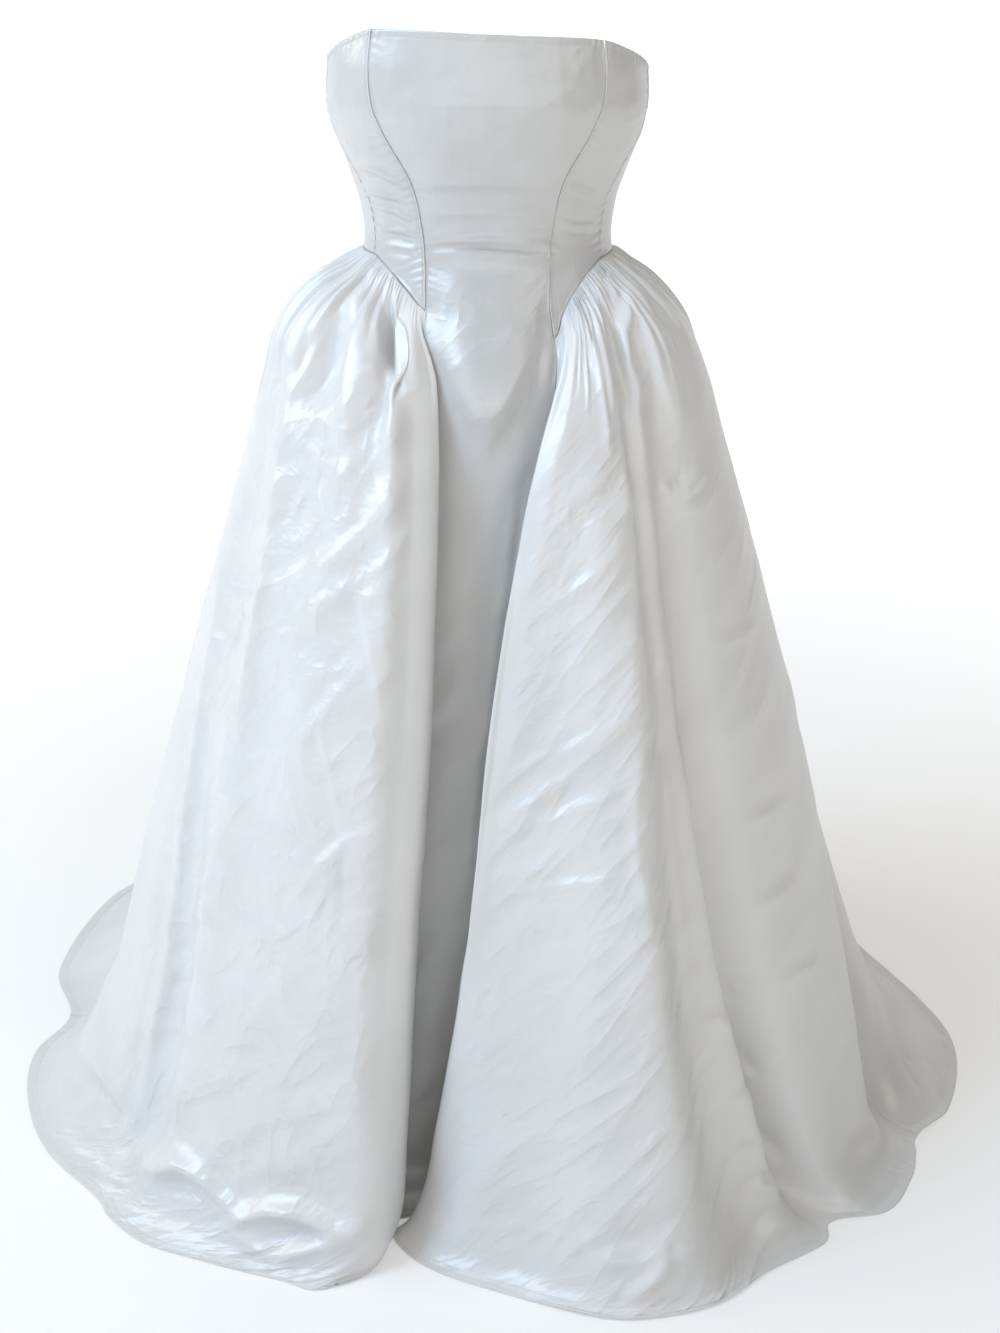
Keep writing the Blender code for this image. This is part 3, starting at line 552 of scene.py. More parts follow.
def creaseHeight(points, creases, form):
    # height over the plain cloth from the listed creases
    flat = points.reshape(-1, 3) * 1000
    height = np.zeros(len(flat))
    for width, rise, *line in creases:
        line = np.array(line, float)
        margin = np.array([form["reach"] * width, form["depthReach"], form["reach"] * width])
        inside = (flat > line.min(0) - margin) & (flat < line.max(0) + margin)
        near = np.nonzero(np.all(inside, axis=1))[0]
        if len(near) == 0:
            continue
        at, lineAt = flat[near][:, [0, 2]], line[:, [0, 2]]
        lengths = np.linalg.norm(np.diff(lineAt, axis=0), axis=1)
        run = np.concatenate([[0], np.cumsum(lengths)])
        best, signed, along = np.full(len(at), 1e9), np.zeros(len(at)), np.zeros(len(at))
        for k, step in enumerate(np.diff(lineAt, axis=0)):
            t = np.clip(((at - lineAt[k]) @ step) / (step @ step), 0, 1)
            away = at - lineAt[k] - t[:, None] * step
            distance = np.linalg.norm(away, axis=1)
            rightOrLeft = np.sign(step[0] * away[:, 1] - step[1] * away[:, 0])
            closer = distance < best
            best = np.where(closer, distance, best)
            signed = np.where(closer, rightOrLeft * distance, signed)
            along = np.where(closer, run[k] + t * lengths[k], along)
        taper = np.clip(np.sin(np.pi * np.clip(along / run[-1], 0, 1)), 0, 1) ** form["taper"]
        ridge = np.exp(-np.abs(signed / width) ** form["roundness"])
        place = (signed + form["troughPlace"] * width) / (form["troughWidth"] * width)
        trough = form["troughShare"] * np.exp(-place ** 2)
        height[near] += rise * taper * (ridge - trough) / 1000
    return height.reshape(points.shape[:2])


# Rows and columns of the meshes. The skirt's rows are closer near the waist and the hem.
meshing = {
    "frontColumns": 270,
    "backColumns": 200,
    "waistRows": 78,
    "middleRows": 190,
    "hemRows": 20,
    "bodiceRows": 140,
    "waistEnd": 0.15,
    "hemStart": 0.965,
    # columns in all, share of the width beside each seam, columns there at the start and the end
    "panelColumns": (84, 0.06, 12, 12),
    "sideFrontColumns": (88, 0.12, 24, 6),
    "bodiceBackColumns": (120, 0.05, 12, 12),
}

foldKnotsOf = {side: foldKnots(side) for side in (-1, 1)}
levels = np.concatenate([
    np.linspace(0, meshing["waistEnd"], meshing["waistRows"] + 1)[:-1],
    np.linspace(meshing["waistEnd"], meshing["hemStart"], meshing["middleRows"] + 1)[:-1],
    np.linspace(meshing["hemStart"], 1, meshing["hemRows"] + 1),
])


def closerAtEnds(columns, edge, atStart, atEnd):
    # shares from 0 to 1 with extra columns beside the seams
    return np.concatenate([
        np.linspace(0, edge, atStart + 1)[:-1],
        np.linspace(edge, 1 - edge, columns - atStart - atEnd + 1),
        np.linspace(1 - edge, 1, atEnd + 1)[1:],
    ])


def drawnIn(grid):
    # the ends of each row drawn in by half of the seam gap
    grid = grid.copy()
    for end, beside in ((0, 1), (-1, -2)):
        along = grid[:, beside] - grid[:, end]
        reach = np.maximum(np.linalg.norm(along, axis=1), 1e-9)
        grid[:, end] += along * (np.minimum(gown["seamGap"] / 2, reach * 0.45) / reach)[:, None]
    return grid


def addObject(name, data):
    thing = bpy.data.objects.new(name, data)
    bpy.context.scene.collection.objects.link(thing)
    return thing


def clothPiece(name, grid, thickness, rightWay, uv, crumple):
    # a closed wall: the outer face as given, the inner face half as fine
    rows, columns = grid.shape[:2]
    normals = gridNormals(grid, rightWay)
    inner = (grid - normals * thickness)[::2, ::2]
    lowest = gown["floorClearance"] - gown["skirtWall"] - gown["waistHeight"]
    inner[..., 2] = np.maximum(inner[..., 2], lowest)
    outerIndex = np.arange(rows * columns).reshape(rows, columns)
    innerIndex = rows * columns + np.arange(inner[..., 0].size).reshape(inner.shape[:2])

    def quadsOf(index):
        corners = index[:-1, :-1], index[:-1, 1:], index[1:, 1:], index[1:, :-1]
        return np.stack(corners, axis=-1).reshape(-1, 4)

    def edgeLoop(index):
        return np.concatenate([index[0], index[1:, -1], index[-1, -2::-1], index[-2:0:-1, 0]])

    around, behind = edgeLoop(outerIndex), edgeLoop(innerIndex)
    a, m, b = around[::2], around[1::2], np.roll(around, -2)[::2]
    c, d = behind, np.roll(behind, -1)
    rim = np.concatenate([np.stack([a, c, m], 1), np.stack([m, c, d], 1), np.stack([m, d, b], 1)])
    quads = np.concatenate([quadsOf(outerIndex), quadsOf(innerIndex)[:, ::-1]])
    if not rightWay:
        quads, rim = quads[:, ::-1], rim[:, ::-1]
    points = np.concatenate([grid.reshape(-1, 3), inner.reshape(-1, 3)])
    corners = np.concatenate([quads.ravel(), rim.ravel()])
    starts = np.concatenate([np.arange(len(quads)) * 4, len(quads) * 4 + np.arange(len(rim)) * 3])
    mesh = bpy.data.meshes.new(name)
    mesh.vertices.add(len(points))
    mesh.vertices.foreach_set("co", points.astype(np.float32).ravel())
    mesh.loops.add(len(corners))
    mesh.loops.foreach_set("vertex_index", corners.astype(np.int32))
    mesh.polygons.add(len(starts))
    mesh.polygons.foreach_set("loop_start", starts.astype(np.int32))
    mesh.polygons.foreach_set("use_smooth", np.arange(len(starts)) < len(quads))
    flatPlace = np.concatenate([uv.reshape(-1, 2), uv[::2, ::2].reshape(-1, 2)])
    layer = mesh.uv_layers.new(name="cloth")
    layer.data.foreach_set("uv", flatPlace[corners].astype(np.float32).ravel())
    amounts = np.concatenate([crumple.ravel(), crumple[::2, ::2].ravel()])
    attribute = mesh.attributes.new("crumple", "FLOAT", "POINT")
    attribute.data.foreach_set("value", amounts.astype(np.float32))
    mesh.update(calc_edges=True)
    mesh.validate()
    return addObject(name, mesh)


# Folds that the gathers make below the waist seam. Widths are shares of half the skirt,
# heights are metres, and a length of 1 fades out at the level named longest.
gathers = {
    "longest": 0.15,
    "wander": 0.0045,
    "common": 0.32,  # the whole row sinks by this share, so that the folds rise from a hollow
    -1: {"seed": 3, "width": (0.026, 0.055), "height": 0.0085, "length": (0.55, 1.45),
         "fineWidth": (0.007, 0.016), "fineHeight": 0.0022, "fineFade": 0.045},
    1: {"seed": 8, "width": (0.013, 0.034), "height": 0.0058, "length": (0.25, 1.15),
        "fineWidth": (0.006, 0.014), "fineHeight": 0.0046, "fineFade": 0.036},
}


def pleats(share, widths, seed):
    # ridges between valleys, each with its own width, strength and length
    rng = np.random.default_rng(seed)
    edges = [0.0]
    while edges[-1] < 1:
        edges.append(edges[-1] + rng.uniform(*widths))
    edges = np.array(edges)
    strength, length = rng.uniform(0.35, 1.0, len(edges)), rng.uniform(0, 1, len(edges))
    cell = np.clip(np.searchsorted(edges, share) - 1, 0, len(edges) - 2)
    place = np.clip((share - edges[cell]) / (edges[cell + 1] - edges[cell]), 0, 1)
    return place, strength[cell], length[cell]


def gatherHeight(side, share, level, fade):
    style = gathers[side]
    wander = softNoise(level * 22, share * 30, style["seed"] + 50) * easeIn(0, 0.08, level)
    wander *= gathers["wander"]
    place, strength, length = pleats(np.clip(share + wander, 0, 1), style["width"], style["seed"])
    short, long = style["length"]
    reach = gathers["longest"] * (short + (long - short) * length)
    sharp = 1 - (2 * place - 1) ** 2
    rounded = 0.5 - 0.5 * np.cos(2 * math.pi * place)
    soft = easeIn(0.02, 0.09, level)
    ridge = sharp * (1 - soft) + rounded * soft
    rise = easeIn(-0.008, 0.034, level) * easeIn(0, 0.004, level)
    fall = 1 - easeIn(0.25 * reach, reach, level)
    common = 1 - easeIn(0.04, 0.16, level)
    height = style["height"] * rise * (ridge * strength * fall - gathers["common"] * common)
    place, strength, length = pleats(share + 0.4 * wander, style["fineWidth"], style["seed"] + 20)
    fine = (1 - (2 * place - 1) ** 2) * strength - 0.3
    end = style["fineFade"] * (0.35 + 0.65 * length)
    fall = 1 - easeIn(0.3 * end, end, level)
    height += style["fineHeight"] * fine * easeIn(0, 0.005, level) * fall
    return height * fade


# Soft folds and crumples of the skirt, in metres.
skirtCloth = {
    "swell": 0.0022,
    "drag": 0.0022,
    "facet": {-1: 0.0017, 1: 0.0024},
    "smallFacet": {-1: 0.0011, 1: 0.0009},
    "crumple": {-1: 0.0012, 1: 0.0009},
    # angle, length, width, share of the height, number added to the seed
    "facetRows": ((38, 0.110, 0.046, 1.0, 20), (62, 0.085, 0.034, 0.5, 21)),
    "crumpleRows": ((30, 0.085, 0.020, 1.0, 3), (58, 0.07, 0.018, 0.7, 4)),
    "bumpShare": {-1: 1.15, 1: 0.9},  # finest creases, more on the wearer's right
    "meanRadius": 0.34,
    "swellSize": (0.07, 0.30),
    "warp": 0.014,
    "dragSize": (0.12, 0.030),
    "smallFacetSize": (0.040, 0.016),
    "livelyFrom": (-1.4, -1.1),
    "livelyTo": (0.5, 0.72),
    "calmShare": 0.22,
    "hemBand": 0.013,
    "hemStep": 0.0005,
    "hemPucker": 0.0006,
    "puckerSpacing": 0.0115,
}


def aroundSkirt(grid):
    return np.arctan2(grid[..., 0], -grid[..., 1] + 0.02)


def liveliness(grid, sizes):
    # how crumpled the cloth is: the lobes in front more than the sides
    angle = aroundSkirt(grid)
    lively = easeIn(*sizes["livelyFrom"], angle) * (1 - easeIn(*sizes["livelyTo"], angle))
    return sizes["calmShare"] + (1 - sizes["calmShare"]) * lively


def clothFolds(grid, low, lively, sizes, side, seed):
    # soft folds and flat facets that lean with the photograph's, on coordinates round the gown
    around, height = aroundSkirt(grid) * sizes["meanRadius"], grid[..., 2]
    wide, high = sizes["swellSize"]
    total = softNoise(around / wide, height / high + 3, seed) * (0.5 + 0.5 * lively)
    total *= sizes["swell"]
    around = around + sizes["warp"] * softNoise(around / 0.09, height / 0.07, seed + 7)
    height = height + sizes["warp"] * softNoise(around / 0.08, height / 0.09, seed + 8)
    long, wide = sizes["dragSize"]
    x, y = turned(around, height, 42)
    mask = easeIn(-0.5, 0.4, softNoise(around / 0.13, height / 0.17, seed + 1))
    drag = softNoise(x / long, y / wide, seed + 2) * (0.4 + 0.6 * lively)
    total += sizes["drag"] * mask * drag
    for degrees, long, wide, share, k in sizes["facetRows"]:
        x, y = turned(around, height, degrees)
        total += sizes["facet"][side] * share * facetNoise(x / long, y / wide, seed + k) * lively
    mask = easeIn(-0.3, 0.5, softNoise(around / 0.07, height / 0.08, seed + 22))
    long, wide = sizes["smallFacetSize"]
    x, y = turned(around, height, 48)
    small = facetNoise(x / long, y / wide, seed + 23)
    total += sizes["smallFacet"][side] * mask * small * lively
    for degrees, long, wide, share, k in sizes["crumpleRows"]:
        x, y = turned(around, height, degrees)
        ridge = (1 - np.abs(softNoise(x / long, y / wide, seed + k))) ** 5 - 0.2
        mask = easeIn(-0.2, 0.6, softNoise(around / 0.10, height / 0.11, seed + 10 + k))
        total += sizes["crumple"][side] * share * mask * ridge * lively
    return total * low


def hemHeight(across, toHem, sizes, seed):
    inBand = 1 - easeIn(sizes["hemBand"] - 0.001, sizes["hemBand"] + 0.0015, toHem)
    line = np.exp(-((toHem - sizes["hemBand"]) / 0.0016) ** 2)
    uneven = softNoise(across / 0.05, 0 * across, seed)
    wave = np.sin(2 * math.pi * (across + 0.5 * toHem) / sizes["puckerSpacing"] + 2.5 * uneven)
    reach = 1 - easeIn(0.010, 0.026, toHem)
    strength = 0.45 + 0.55 * easeIn(-0.4, 0.5, softNoise(across / 0.11, 0 * across, seed + 1))
    return sizes["hemStep"] * inBand - 0.0004 * line + sizes["hemPucker"] * wave * reach * strength


def halfSkirt(side):
    # the displaced grid of one half of the skirt, from the front panel to the centre back
    middle = foldKnotsOf[side][sideSeamLine[side]]
    share = np.concatenate([np.linspace(0, middle, meshing["frontColumns"] + 1),
                            np.linspace(middle, 1, meshing["backColumns"] + 1)[1:]])
    grid = np.array([skirtRow(side, level, share) for level in levels])
    grid[:, -1, 0] = 0
    normals = gridNormals(grid, side < 0)
    normals[:, -1, 0] = 0
    across, down = clothCoordinates(grid)
    toEnd = across[:, -1:] - across
    toHem = down[-1:] - down
    level = np.repeat(levels[:, None], len(share), axis=1)
    shares = np.repeat(share[None], len(levels), axis=0)
    fade = easeIn(0.0, 0.012, across) * easeIn(0.0, 0.02, toEnd)
    low = easeIn(0.03, 0.16, level) * fade
    besidePanel = 0.45 + 0.55 * easeIn(0.02, 0.06, across)
    height = gatherHeight(side, shares, level, fade * besidePanel)
    knots = foldKnotsOf[side]
    lively = liveliness(grid, skirtCloth) * easeIn(knots[2], knots[3] + 0.01, shares)
    height += clothFolds(grid, low, lively, skirtCloth, side, 100 + side)
    height += hemHeight(across, toHem, skirtCloth, 200 + side) * easeIn(0, 0.004, across)
    height += creaseHeight(grid, handCreases, creaseForm) * fade
    grid = grid + normals * height[..., None]
    grid[..., 2] = np.maximum(grid[..., 2], gown["floorClearance"] - gown["waistHeight"])
    crumple = skirtCloth["bumpShare"][side] * lively * low
    return grid, normals, np.stack([side * across, -down], axis=-1), toHem, crumple


def sampled(grid, measure, target):
    # the points of a grid's columns where a measure down the column reaches the target
    line = []
    for j in range(grid.shape[1]):
        order = np.argsort(measure[:, j])
        line.append([np.interp(target, measure[order, j], grid[order, j, k]) for k in range(3)])
    return np.array(line)


lowerEdges = {}
bodice = {}
for side in (-1, 1):
    frontShare = closerAtEnds(*meshing["sideFrontColumns"])
    backShare = closerAtEnds(*meshing["bodiceBackColumns"])
    found = []
    for start, end, shares in (
            (seamAngle(princessSeam, side, 1), seamAngle(sideSeam, side, -1), frontShare),
            (seamAngle(sideSeam, side, 1), seamAngle(None, side, -1), backShare)):
        found.append(bodiceGrid(start, end, shares, meshing["bodiceRows"]))
    bodice[side] = found
    edge = np.concatenate([grid[-1] for grid, _ in found])
    around = np.abs(np.concatenate([angles[-1] for _, angles in found]))
    lowerEdges[side] = (around, edge)
print("bodice laid out")

# Seams and small creases of the bodice, in metres.
bodiceCloth = {
    "bandWidth": 0.0036,
    "bandHeight": 0.0016,
    "edgeRise": 0.0007,
    "pucker": {-1: 0.0014, 1: 0.0007},
    "puckerSpacing": 0.0088,
    "sidePucker": 0.0007,
    "sideSpacing": 0.0105,
    "backSpacing": 0.0115,
    "sideRidge": 0.0005,
    "sideRidgeWidth": 0.0022,
    "centreDip": 0.0005,
    "neckBand": 0.0056,
    "neckStep": 0.00035,
    "neckPucker": 0.0005,
    "neckSpacing": 0.0083,
    "crumple": 0.35,
    "soft": 0.0007,
    "bustWrinkle": 0.0006,
}


def neckHeight(around, toTop, sizes, seed):
    inBand = 1 - easeIn(sizes["neckBand"] - 0.0008, sizes["neckBand"] + 0.0008, toTop)
    line = np.exp(-((toTop - sizes["neckBand"]) / 0.0011) ** 2)
    uneven = softNoise(around / 0.03, 0 * around, seed)
    wave = np.sin(2 * math.pi * around / sizes["neckSpacing"] + 3 * uneven)
    reach = 1 - easeIn(0.004, 0.013, toTop)
    return sizes["neckStep"] * inBand - 0.0003 * line + sizes["neckPucker"] * wave * reach


def bodiceFolds(grid, sizes, seed):
    # shallow dents that a fitted bodice has
    around = np.arctan2(grid[..., 0], -grid[..., 1]) * 0.13
    height = grid[..., 2]
    x, y = turned(around, height, 12)
    total = sizes["soft"] * softNoise(x / 0.075, y / 0.028, seed)
    bust = easeIn(0.07, 0.12, height) * (1 - easeIn(0.19, 0.214, height))
    ridge = (1 - np.abs(softNoise(around / 0.017, height / 0.10, seed + 1))) ** 3 - 0.3
    total += sizes["bustWrinkle"] * bust * ridge
    return total


def seamPuckers(toSeam, height, spacing, reach, seed):
    uneven = softNoise(height / 0.03, 0 * height, seed)
    strength = 0.4 + 0.6 * easeIn(-0.5, 0.5, softNoise(height / 0.021, 0 * height, seed + 1))
    wave = np.sin(2 * math.pi * (height + 0.25 * toSeam) / spacing + 2.2 * uneven)
    return wave * strength * np.exp(-toSeam / reach)


# Belly of the front panel: the cloth swells down to a line like the letter V, in metres.
belly = {
    "lowest": -0.166,
    "slopes": (1.45, 1.60),  # to the wearer's right and left
    "tip": 0.010,
    "swell": 0.015,
    "above": 0.10,
    "below": 0.030,
}


def bellySwell(grid, sizes):
    x, height = grid[..., 0], grid[..., 2]
    slope = np.where(x < 0, *sizes["slopes"])
    line = sizes["lowest"] + slope * (np.sqrt(x * x + sizes["tip"] ** 2) - sizes["tip"])
    above = height - line
    reach = np.where(above > 0, sizes["above"], sizes["below"])
    return sizes["swell"] * np.exp(-(np.abs(above) / reach) ** 1.25)


# The front panel's smoothing over the waist, how its belly fades out, its finest creases.
panelCloth = {
    "smoothingSteps": 420,
    "bellyFade": 0.062,
    "crumple": (0.28, 0.24),  # everywhere, and more at the belly
}


def frontPanelGrid():
    shares = closerAtEnds(*meshing["panelColumns"])
    rows, _ = bodiceGrid(seamAngle(princessSeam, -1, -1), seamAngle(princessSeam, 1, -1),
                         shares, meshing["bodiceRows"])
    dome = 1 - (2 * shares - 1) ** 2
    below = []
    for level in levels:
        right, left = (skirtRow(side, level, np.zeros(1))[0] for side in (-1, 1))
        row = right + (left - right) * shares[:, None]
        row[:, 1] -= dome * np.interp(level, *zip(*panelBulge))
        below.append(row)
    below = np.array(below)
    step = rows[-1] - below[0]
    step[[0, -1]] = 0
    below += step * (1 - easeIn(0, 0.08, levels))[:, None, None]
    grid = np.concatenate([rows, below[1:]])
    smoother = grid.copy()
    for _ in range(panelCloth["smoothingSteps"]):
        smoother[1:-1] += 0.5 * (0.5 * (smoother[:-2] + smoother[2:]) - smoother[1:-1])
    near = easeIn(-0.24, -0.17, grid[..., 2]) * (1 - easeIn(-0.06, -0.02, grid[..., 2]))
    near *= easeIn(0, 0.16, shares) * easeIn(0, 0.16, 1 - shares)
    grid += (smoother - grid) * near[..., None]
    normals = gridNormals(grid, False)
    across, down = clothCoordinates(grid)
    toEnd = across[:, -1:] - across
    toHem = down[-1:] - down
    height = grid[..., 2]
    inBodice = easeIn(-0.11, -0.03, height)
    relief = bodiceFolds(grid, bodiceCloth, 31) * inBodice
    relief += neckHeight(across, down, bodiceCloth, 41)
    lively = 0.3 + 0 * height
    relief += clothFolds(grid, 1 - easeIn(-0.30, -0.12, height), lively, skirtCloth, 1, 131)
    fade = panelCloth["bellyFade"]
    relief += bellySwell(grid, belly) * easeIn(0, fade, across) * easeIn(0, fade, toEnd)
    relief += hemHeight(across, toHem, skirtCloth, 231)
    relief += creaseHeight(grid, handCreases, creaseForm)
    for toSeam, side in ((across, -1), (toEnd, 1)):
        relief += 0.5 * bodiceCloth["pucker"][side] * inBodice * seamPuckers(
            toSeam, height, bodiceCloth["puckerSpacing"], 0.007, 61 + side)
    relief *= easeIn(0, 0.005, across) * easeIn(0, 0.005, toEnd)
    for toSeam in (across, toEnd):
        relief += bodiceCloth["edgeRise"] * inBodice * np.exp(-(toSeam / 0.0012) ** 2)
    grid = grid + normals * relief[..., None]
    grid[..., 2] = np.maximum(grid[..., 2], gown["floorClearance"] - gown["waistHeight"])
    plain, more = panelCloth["crumple"]
    crumple = plain + more * easeIn(-0.20, -0.08, -np.abs(height + 0.08))
    return grid, normals, np.stack([across - across[:, -1:] / 2, -down], axis=-1), toHem, crumple


def sideFrontGrid(side):
    grid = bodice[side][0][0]
    normals = gridNormals(grid, side < 0)
    across, down = clothCoordinates(grid)
    toEnd, toLow = across[:, -1:] - across, down[-1:] - down
    height = grid[..., 2]
    sizes = bodiceCloth
    relief = bodiceFolds(grid, sizes, 71 + side)
    waist = easeIn(-0.06, -0.02, height) * (1 - easeIn(0.09, 0.17, height))
    puckers = seamPuckers(across, height, sizes["puckerSpacing"], 0.013, 81 + side)
    relief += sizes["pucker"][side] * waist * puckers
    puckers = seamPuckers(toEnd, height, sizes["sideSpacing"], 0.008, 91 + side)
    relief += sizes["sidePucker"] * puckers
    relief += creaseHeight(grid, handCreases, creaseForm)
    relief *= easeIn(0, 0.004, across)
    dome = np.clip(1 - ((across / sizes["bandWidth"] - 0.4) / 0.6) ** 2, 0, 1) ** 0.6
    relief += sizes["bandHeight"] * dome
    relief -= 0.0005 * np.exp(-((across - sizes["bandWidth"] - 0.0006) / 0.0009) ** 2)
    relief += sizes["sideRidge"] * np.exp(-(toEnd / sizes["sideRidgeWidth"]) ** 2)
    relief += neckHeight(across, down, sizes, 51 + side)
    relief *= easeIn(0, 0.004, toLow)
    return grid + normals * relief[..., None], normals, np.stack([side * across, -down], axis=-1)


def bodiceBackGrid(side):
    grid = bodice[side][1][0]
    normals = gridNormals(grid, side < 0)
    normals[:, -1, 0] = 0
    across, down = clothCoordinates(grid)
    toEnd, toLow = across[:, -1:] - across, down[-1:] - down
    height = grid[..., 2]
    sizes = bodiceCloth
    relief = bodiceFolds(grid, sizes, 171 + side) * easeIn(0, 0.012, toEnd)
    for toSeam, spacing, reach, seed in ((across, sizes["sideSpacing"], 0.007, 91 + side),
                                         (toEnd, sizes["backSpacing"], 0.012, 95)):
        relief += sizes["sidePucker"] * seamPuckers(toSeam, height, spacing, reach, seed)
    relief *= easeIn(0, 0.003, across)
    relief += sizes["sideRidge"] * np.exp(-(across / sizes["sideRidgeWidth"]) ** 2)
    relief += neckHeight(across, down, sizes, 151 + side) * easeIn(0, 0.003, toEnd)
    relief *= easeIn(0, 0.004, toLow)
    relief -= sizes["centreDip"] * np.exp(-(toEnd / 0.0013) ** 2)
    return grid + normals * relief[..., None], normals, np.stack([side * across, -down], axis=-1)


# Satin: linear colours, and shares of the shader's own settings. Bumps are in metres.
satinLook = {
    "skirt": {
        "shades": ((0.66, 0.662, 0.662, 1), (0.70, 0.702, 0.702, 1)),
        "roughness": (0.33, 0.45),
    },
    "bodice": {  # and the front panel: the same satin as the skirt, darker as painted shade, and glossier
        "shades": ((0.535, 0.535, 0.530, 1), (0.575, 0.575, 0.570, 1)),
        "roughness": (0.27, 0.40),
    },
    "shader": {"Specular IOR Level": 1.0, "Sheen Weight": 0.06, "Sheen Roughness": 0.45},
    "shadePatches": 9,  # to a metre
    "threads": 420,
    "threadBump": 0.00005,
    # width of a crease, stretch along it, its angle, height
    "creases": ((0.075, 3.0, 42, 0.0026), (0.034, 2.6, 60, 0.0010), (0.012, 1.8, 25, 0.00022)),
}


def setInputs(tree, node, values):
    # each input takes a plain value or another node's output
    for key, value in values.items():
        if isinstance(value, bpy.types.NodeSocket):
            tree.links.new(value, node.inputs[key])
        else:
            node.inputs[key].default_value = value


def addNode(tree, kind, values=None, **settings):
    node = tree.nodes.new(kind)
    for key, value in settings.items():
        setattr(node, key, value)
    setInputs(tree, node, values or {})
    return node


def newMaterial(name, values):
    material = bpy.data.materials.new(name)
    material.use_nodes = True
    tree = material.node_tree
    shader = tree.nodes["Principled BSDF"]
    setInputs(tree, shader, values)
    return material, tree, shader


def mapped(tree, value, low, high, start=0, end=1):
    # a value from start to end turned into one from low to high
    values = {"Value": value, "From Min": start, "From Max": end, "To Min": low, "To Max": high}
    return addNode(tree, "ShaderNodeMapRange", values).outputs["Result"]


def mixedColour(tree, share, shades):
    values = {"Factor": share, "A": shades[0], "B": shades[1]}
    return addNode(tree, "ShaderNodeMix", values, data_type="RGBA").outputs["Result"]


def satinMaterial(name, look):
    material, tree, shader = newMaterial(name, satinLook["shader"])
    place = addNode(tree, "ShaderNodeUVMap", uv_map="cloth").outputs["UV"]

    def noise(scale, stretch, angle, detail, fineShare, ridged=False):
        mapping = addNode(tree, "ShaderNodeMapping", {
            "Vector": place, "Rotation": (0, 0, math.radians(angle)), "Scale": (stretch, 1, 1),
        }, vector_type="TEXTURE")
        values = {"Vector": mapping.outputs["Vector"], "Scale": scale, "Detail": detail,
                  "Roughness": fineShare}
        if not ridged:
            return addNode(tree, "ShaderNodeTexNoise", values).outputs["Fac"]
        values |= {"Offset": 1, "Distortion": 0.25}
        return addNode(tree, "ShaderNodeTexNoise", values, noise_type="RIDGED_MULTIFRACTAL",
                       normalize=True).outputs["Fac"]

    def scaledBy(value, factor, added=0):
        return addNode(tree, "ShaderNodeMath", {0: value, 1: factor, 2: added},
                       operation="MULTIPLY_ADD").outputs[0]

    patches = mapped(tree, noise(satinLook["shadePatches"], 1, 0, 4, 0.55), 0, 1, 0.3, 0.62)
    threads = noise(satinLook["threads"], 0.2, 0, 3, 0.7)
    total = 0
    for width, stretch, angle, height in satinLook["creases"]:
        total = scaledBy(noise(1 / width, stretch, angle, 2, 0.5, True), height, total)
    amount = addNode(tree, "ShaderNodeAttribute", attribute_name="crumple").outputs["Fac"]
    height = scaledBy(threads, satinLook["threadBump"], scaledBy(total, amount))
    bump = addNode(tree, "ShaderNodeBump", {"Distance": 1.0, "Height": height})
    setInputs(tree, shader, {
        "Base Color": mixedColour(tree, patches, look["shades"]),
        "Roughness": mapped(tree, threads, *look["roughness"]),
        "Normal": bump.outputs["Normal"],
    })
    return material


# Topstitching, in metres.
stitching = {
    "length": 0.0028,
    "width": 0.00042,
    "spacing": 0.0038,
    "lift": 0.00012,  # out of the cloth
    "shades": ((0.62, 0.62, 0.62, 1), (0.80, 0.80, 0.80, 1)),
    "roughness": (0.35, 0.6),
    "twists": 1400,  # to a metre
}


def threadMaterial():
    material, tree, shader = newMaterial("whiteThread", {"Sheen Weight": 0.2})
    place = addNode(tree, "ShaderNodeTexCoord").outputs["Object"]
    values = {"Vector": place, "Scale": stitching["twists"]}
    twist = addNode(tree, "ShaderNodeTexNoise", values).outputs["Fac"]
    setInputs(tree, shader, {
        "Base Color": mixedColour(tree, twist, stitching["shades"]),
        "Roughness": mapped(tree, twist, *stitching["roughness"]),
    })
    return material


skirtSatin = satinMaterial("skirtSatin", satinLook["skirt"])
# the bodice's satin is a darker copy of the skirt's satin: its darker colour is painted shade
bodiceSatinPaintedShade = satinMaterial("bodiceSatinPaintedShade", satinLook["bodice"])
whiteThread = threadMaterial()


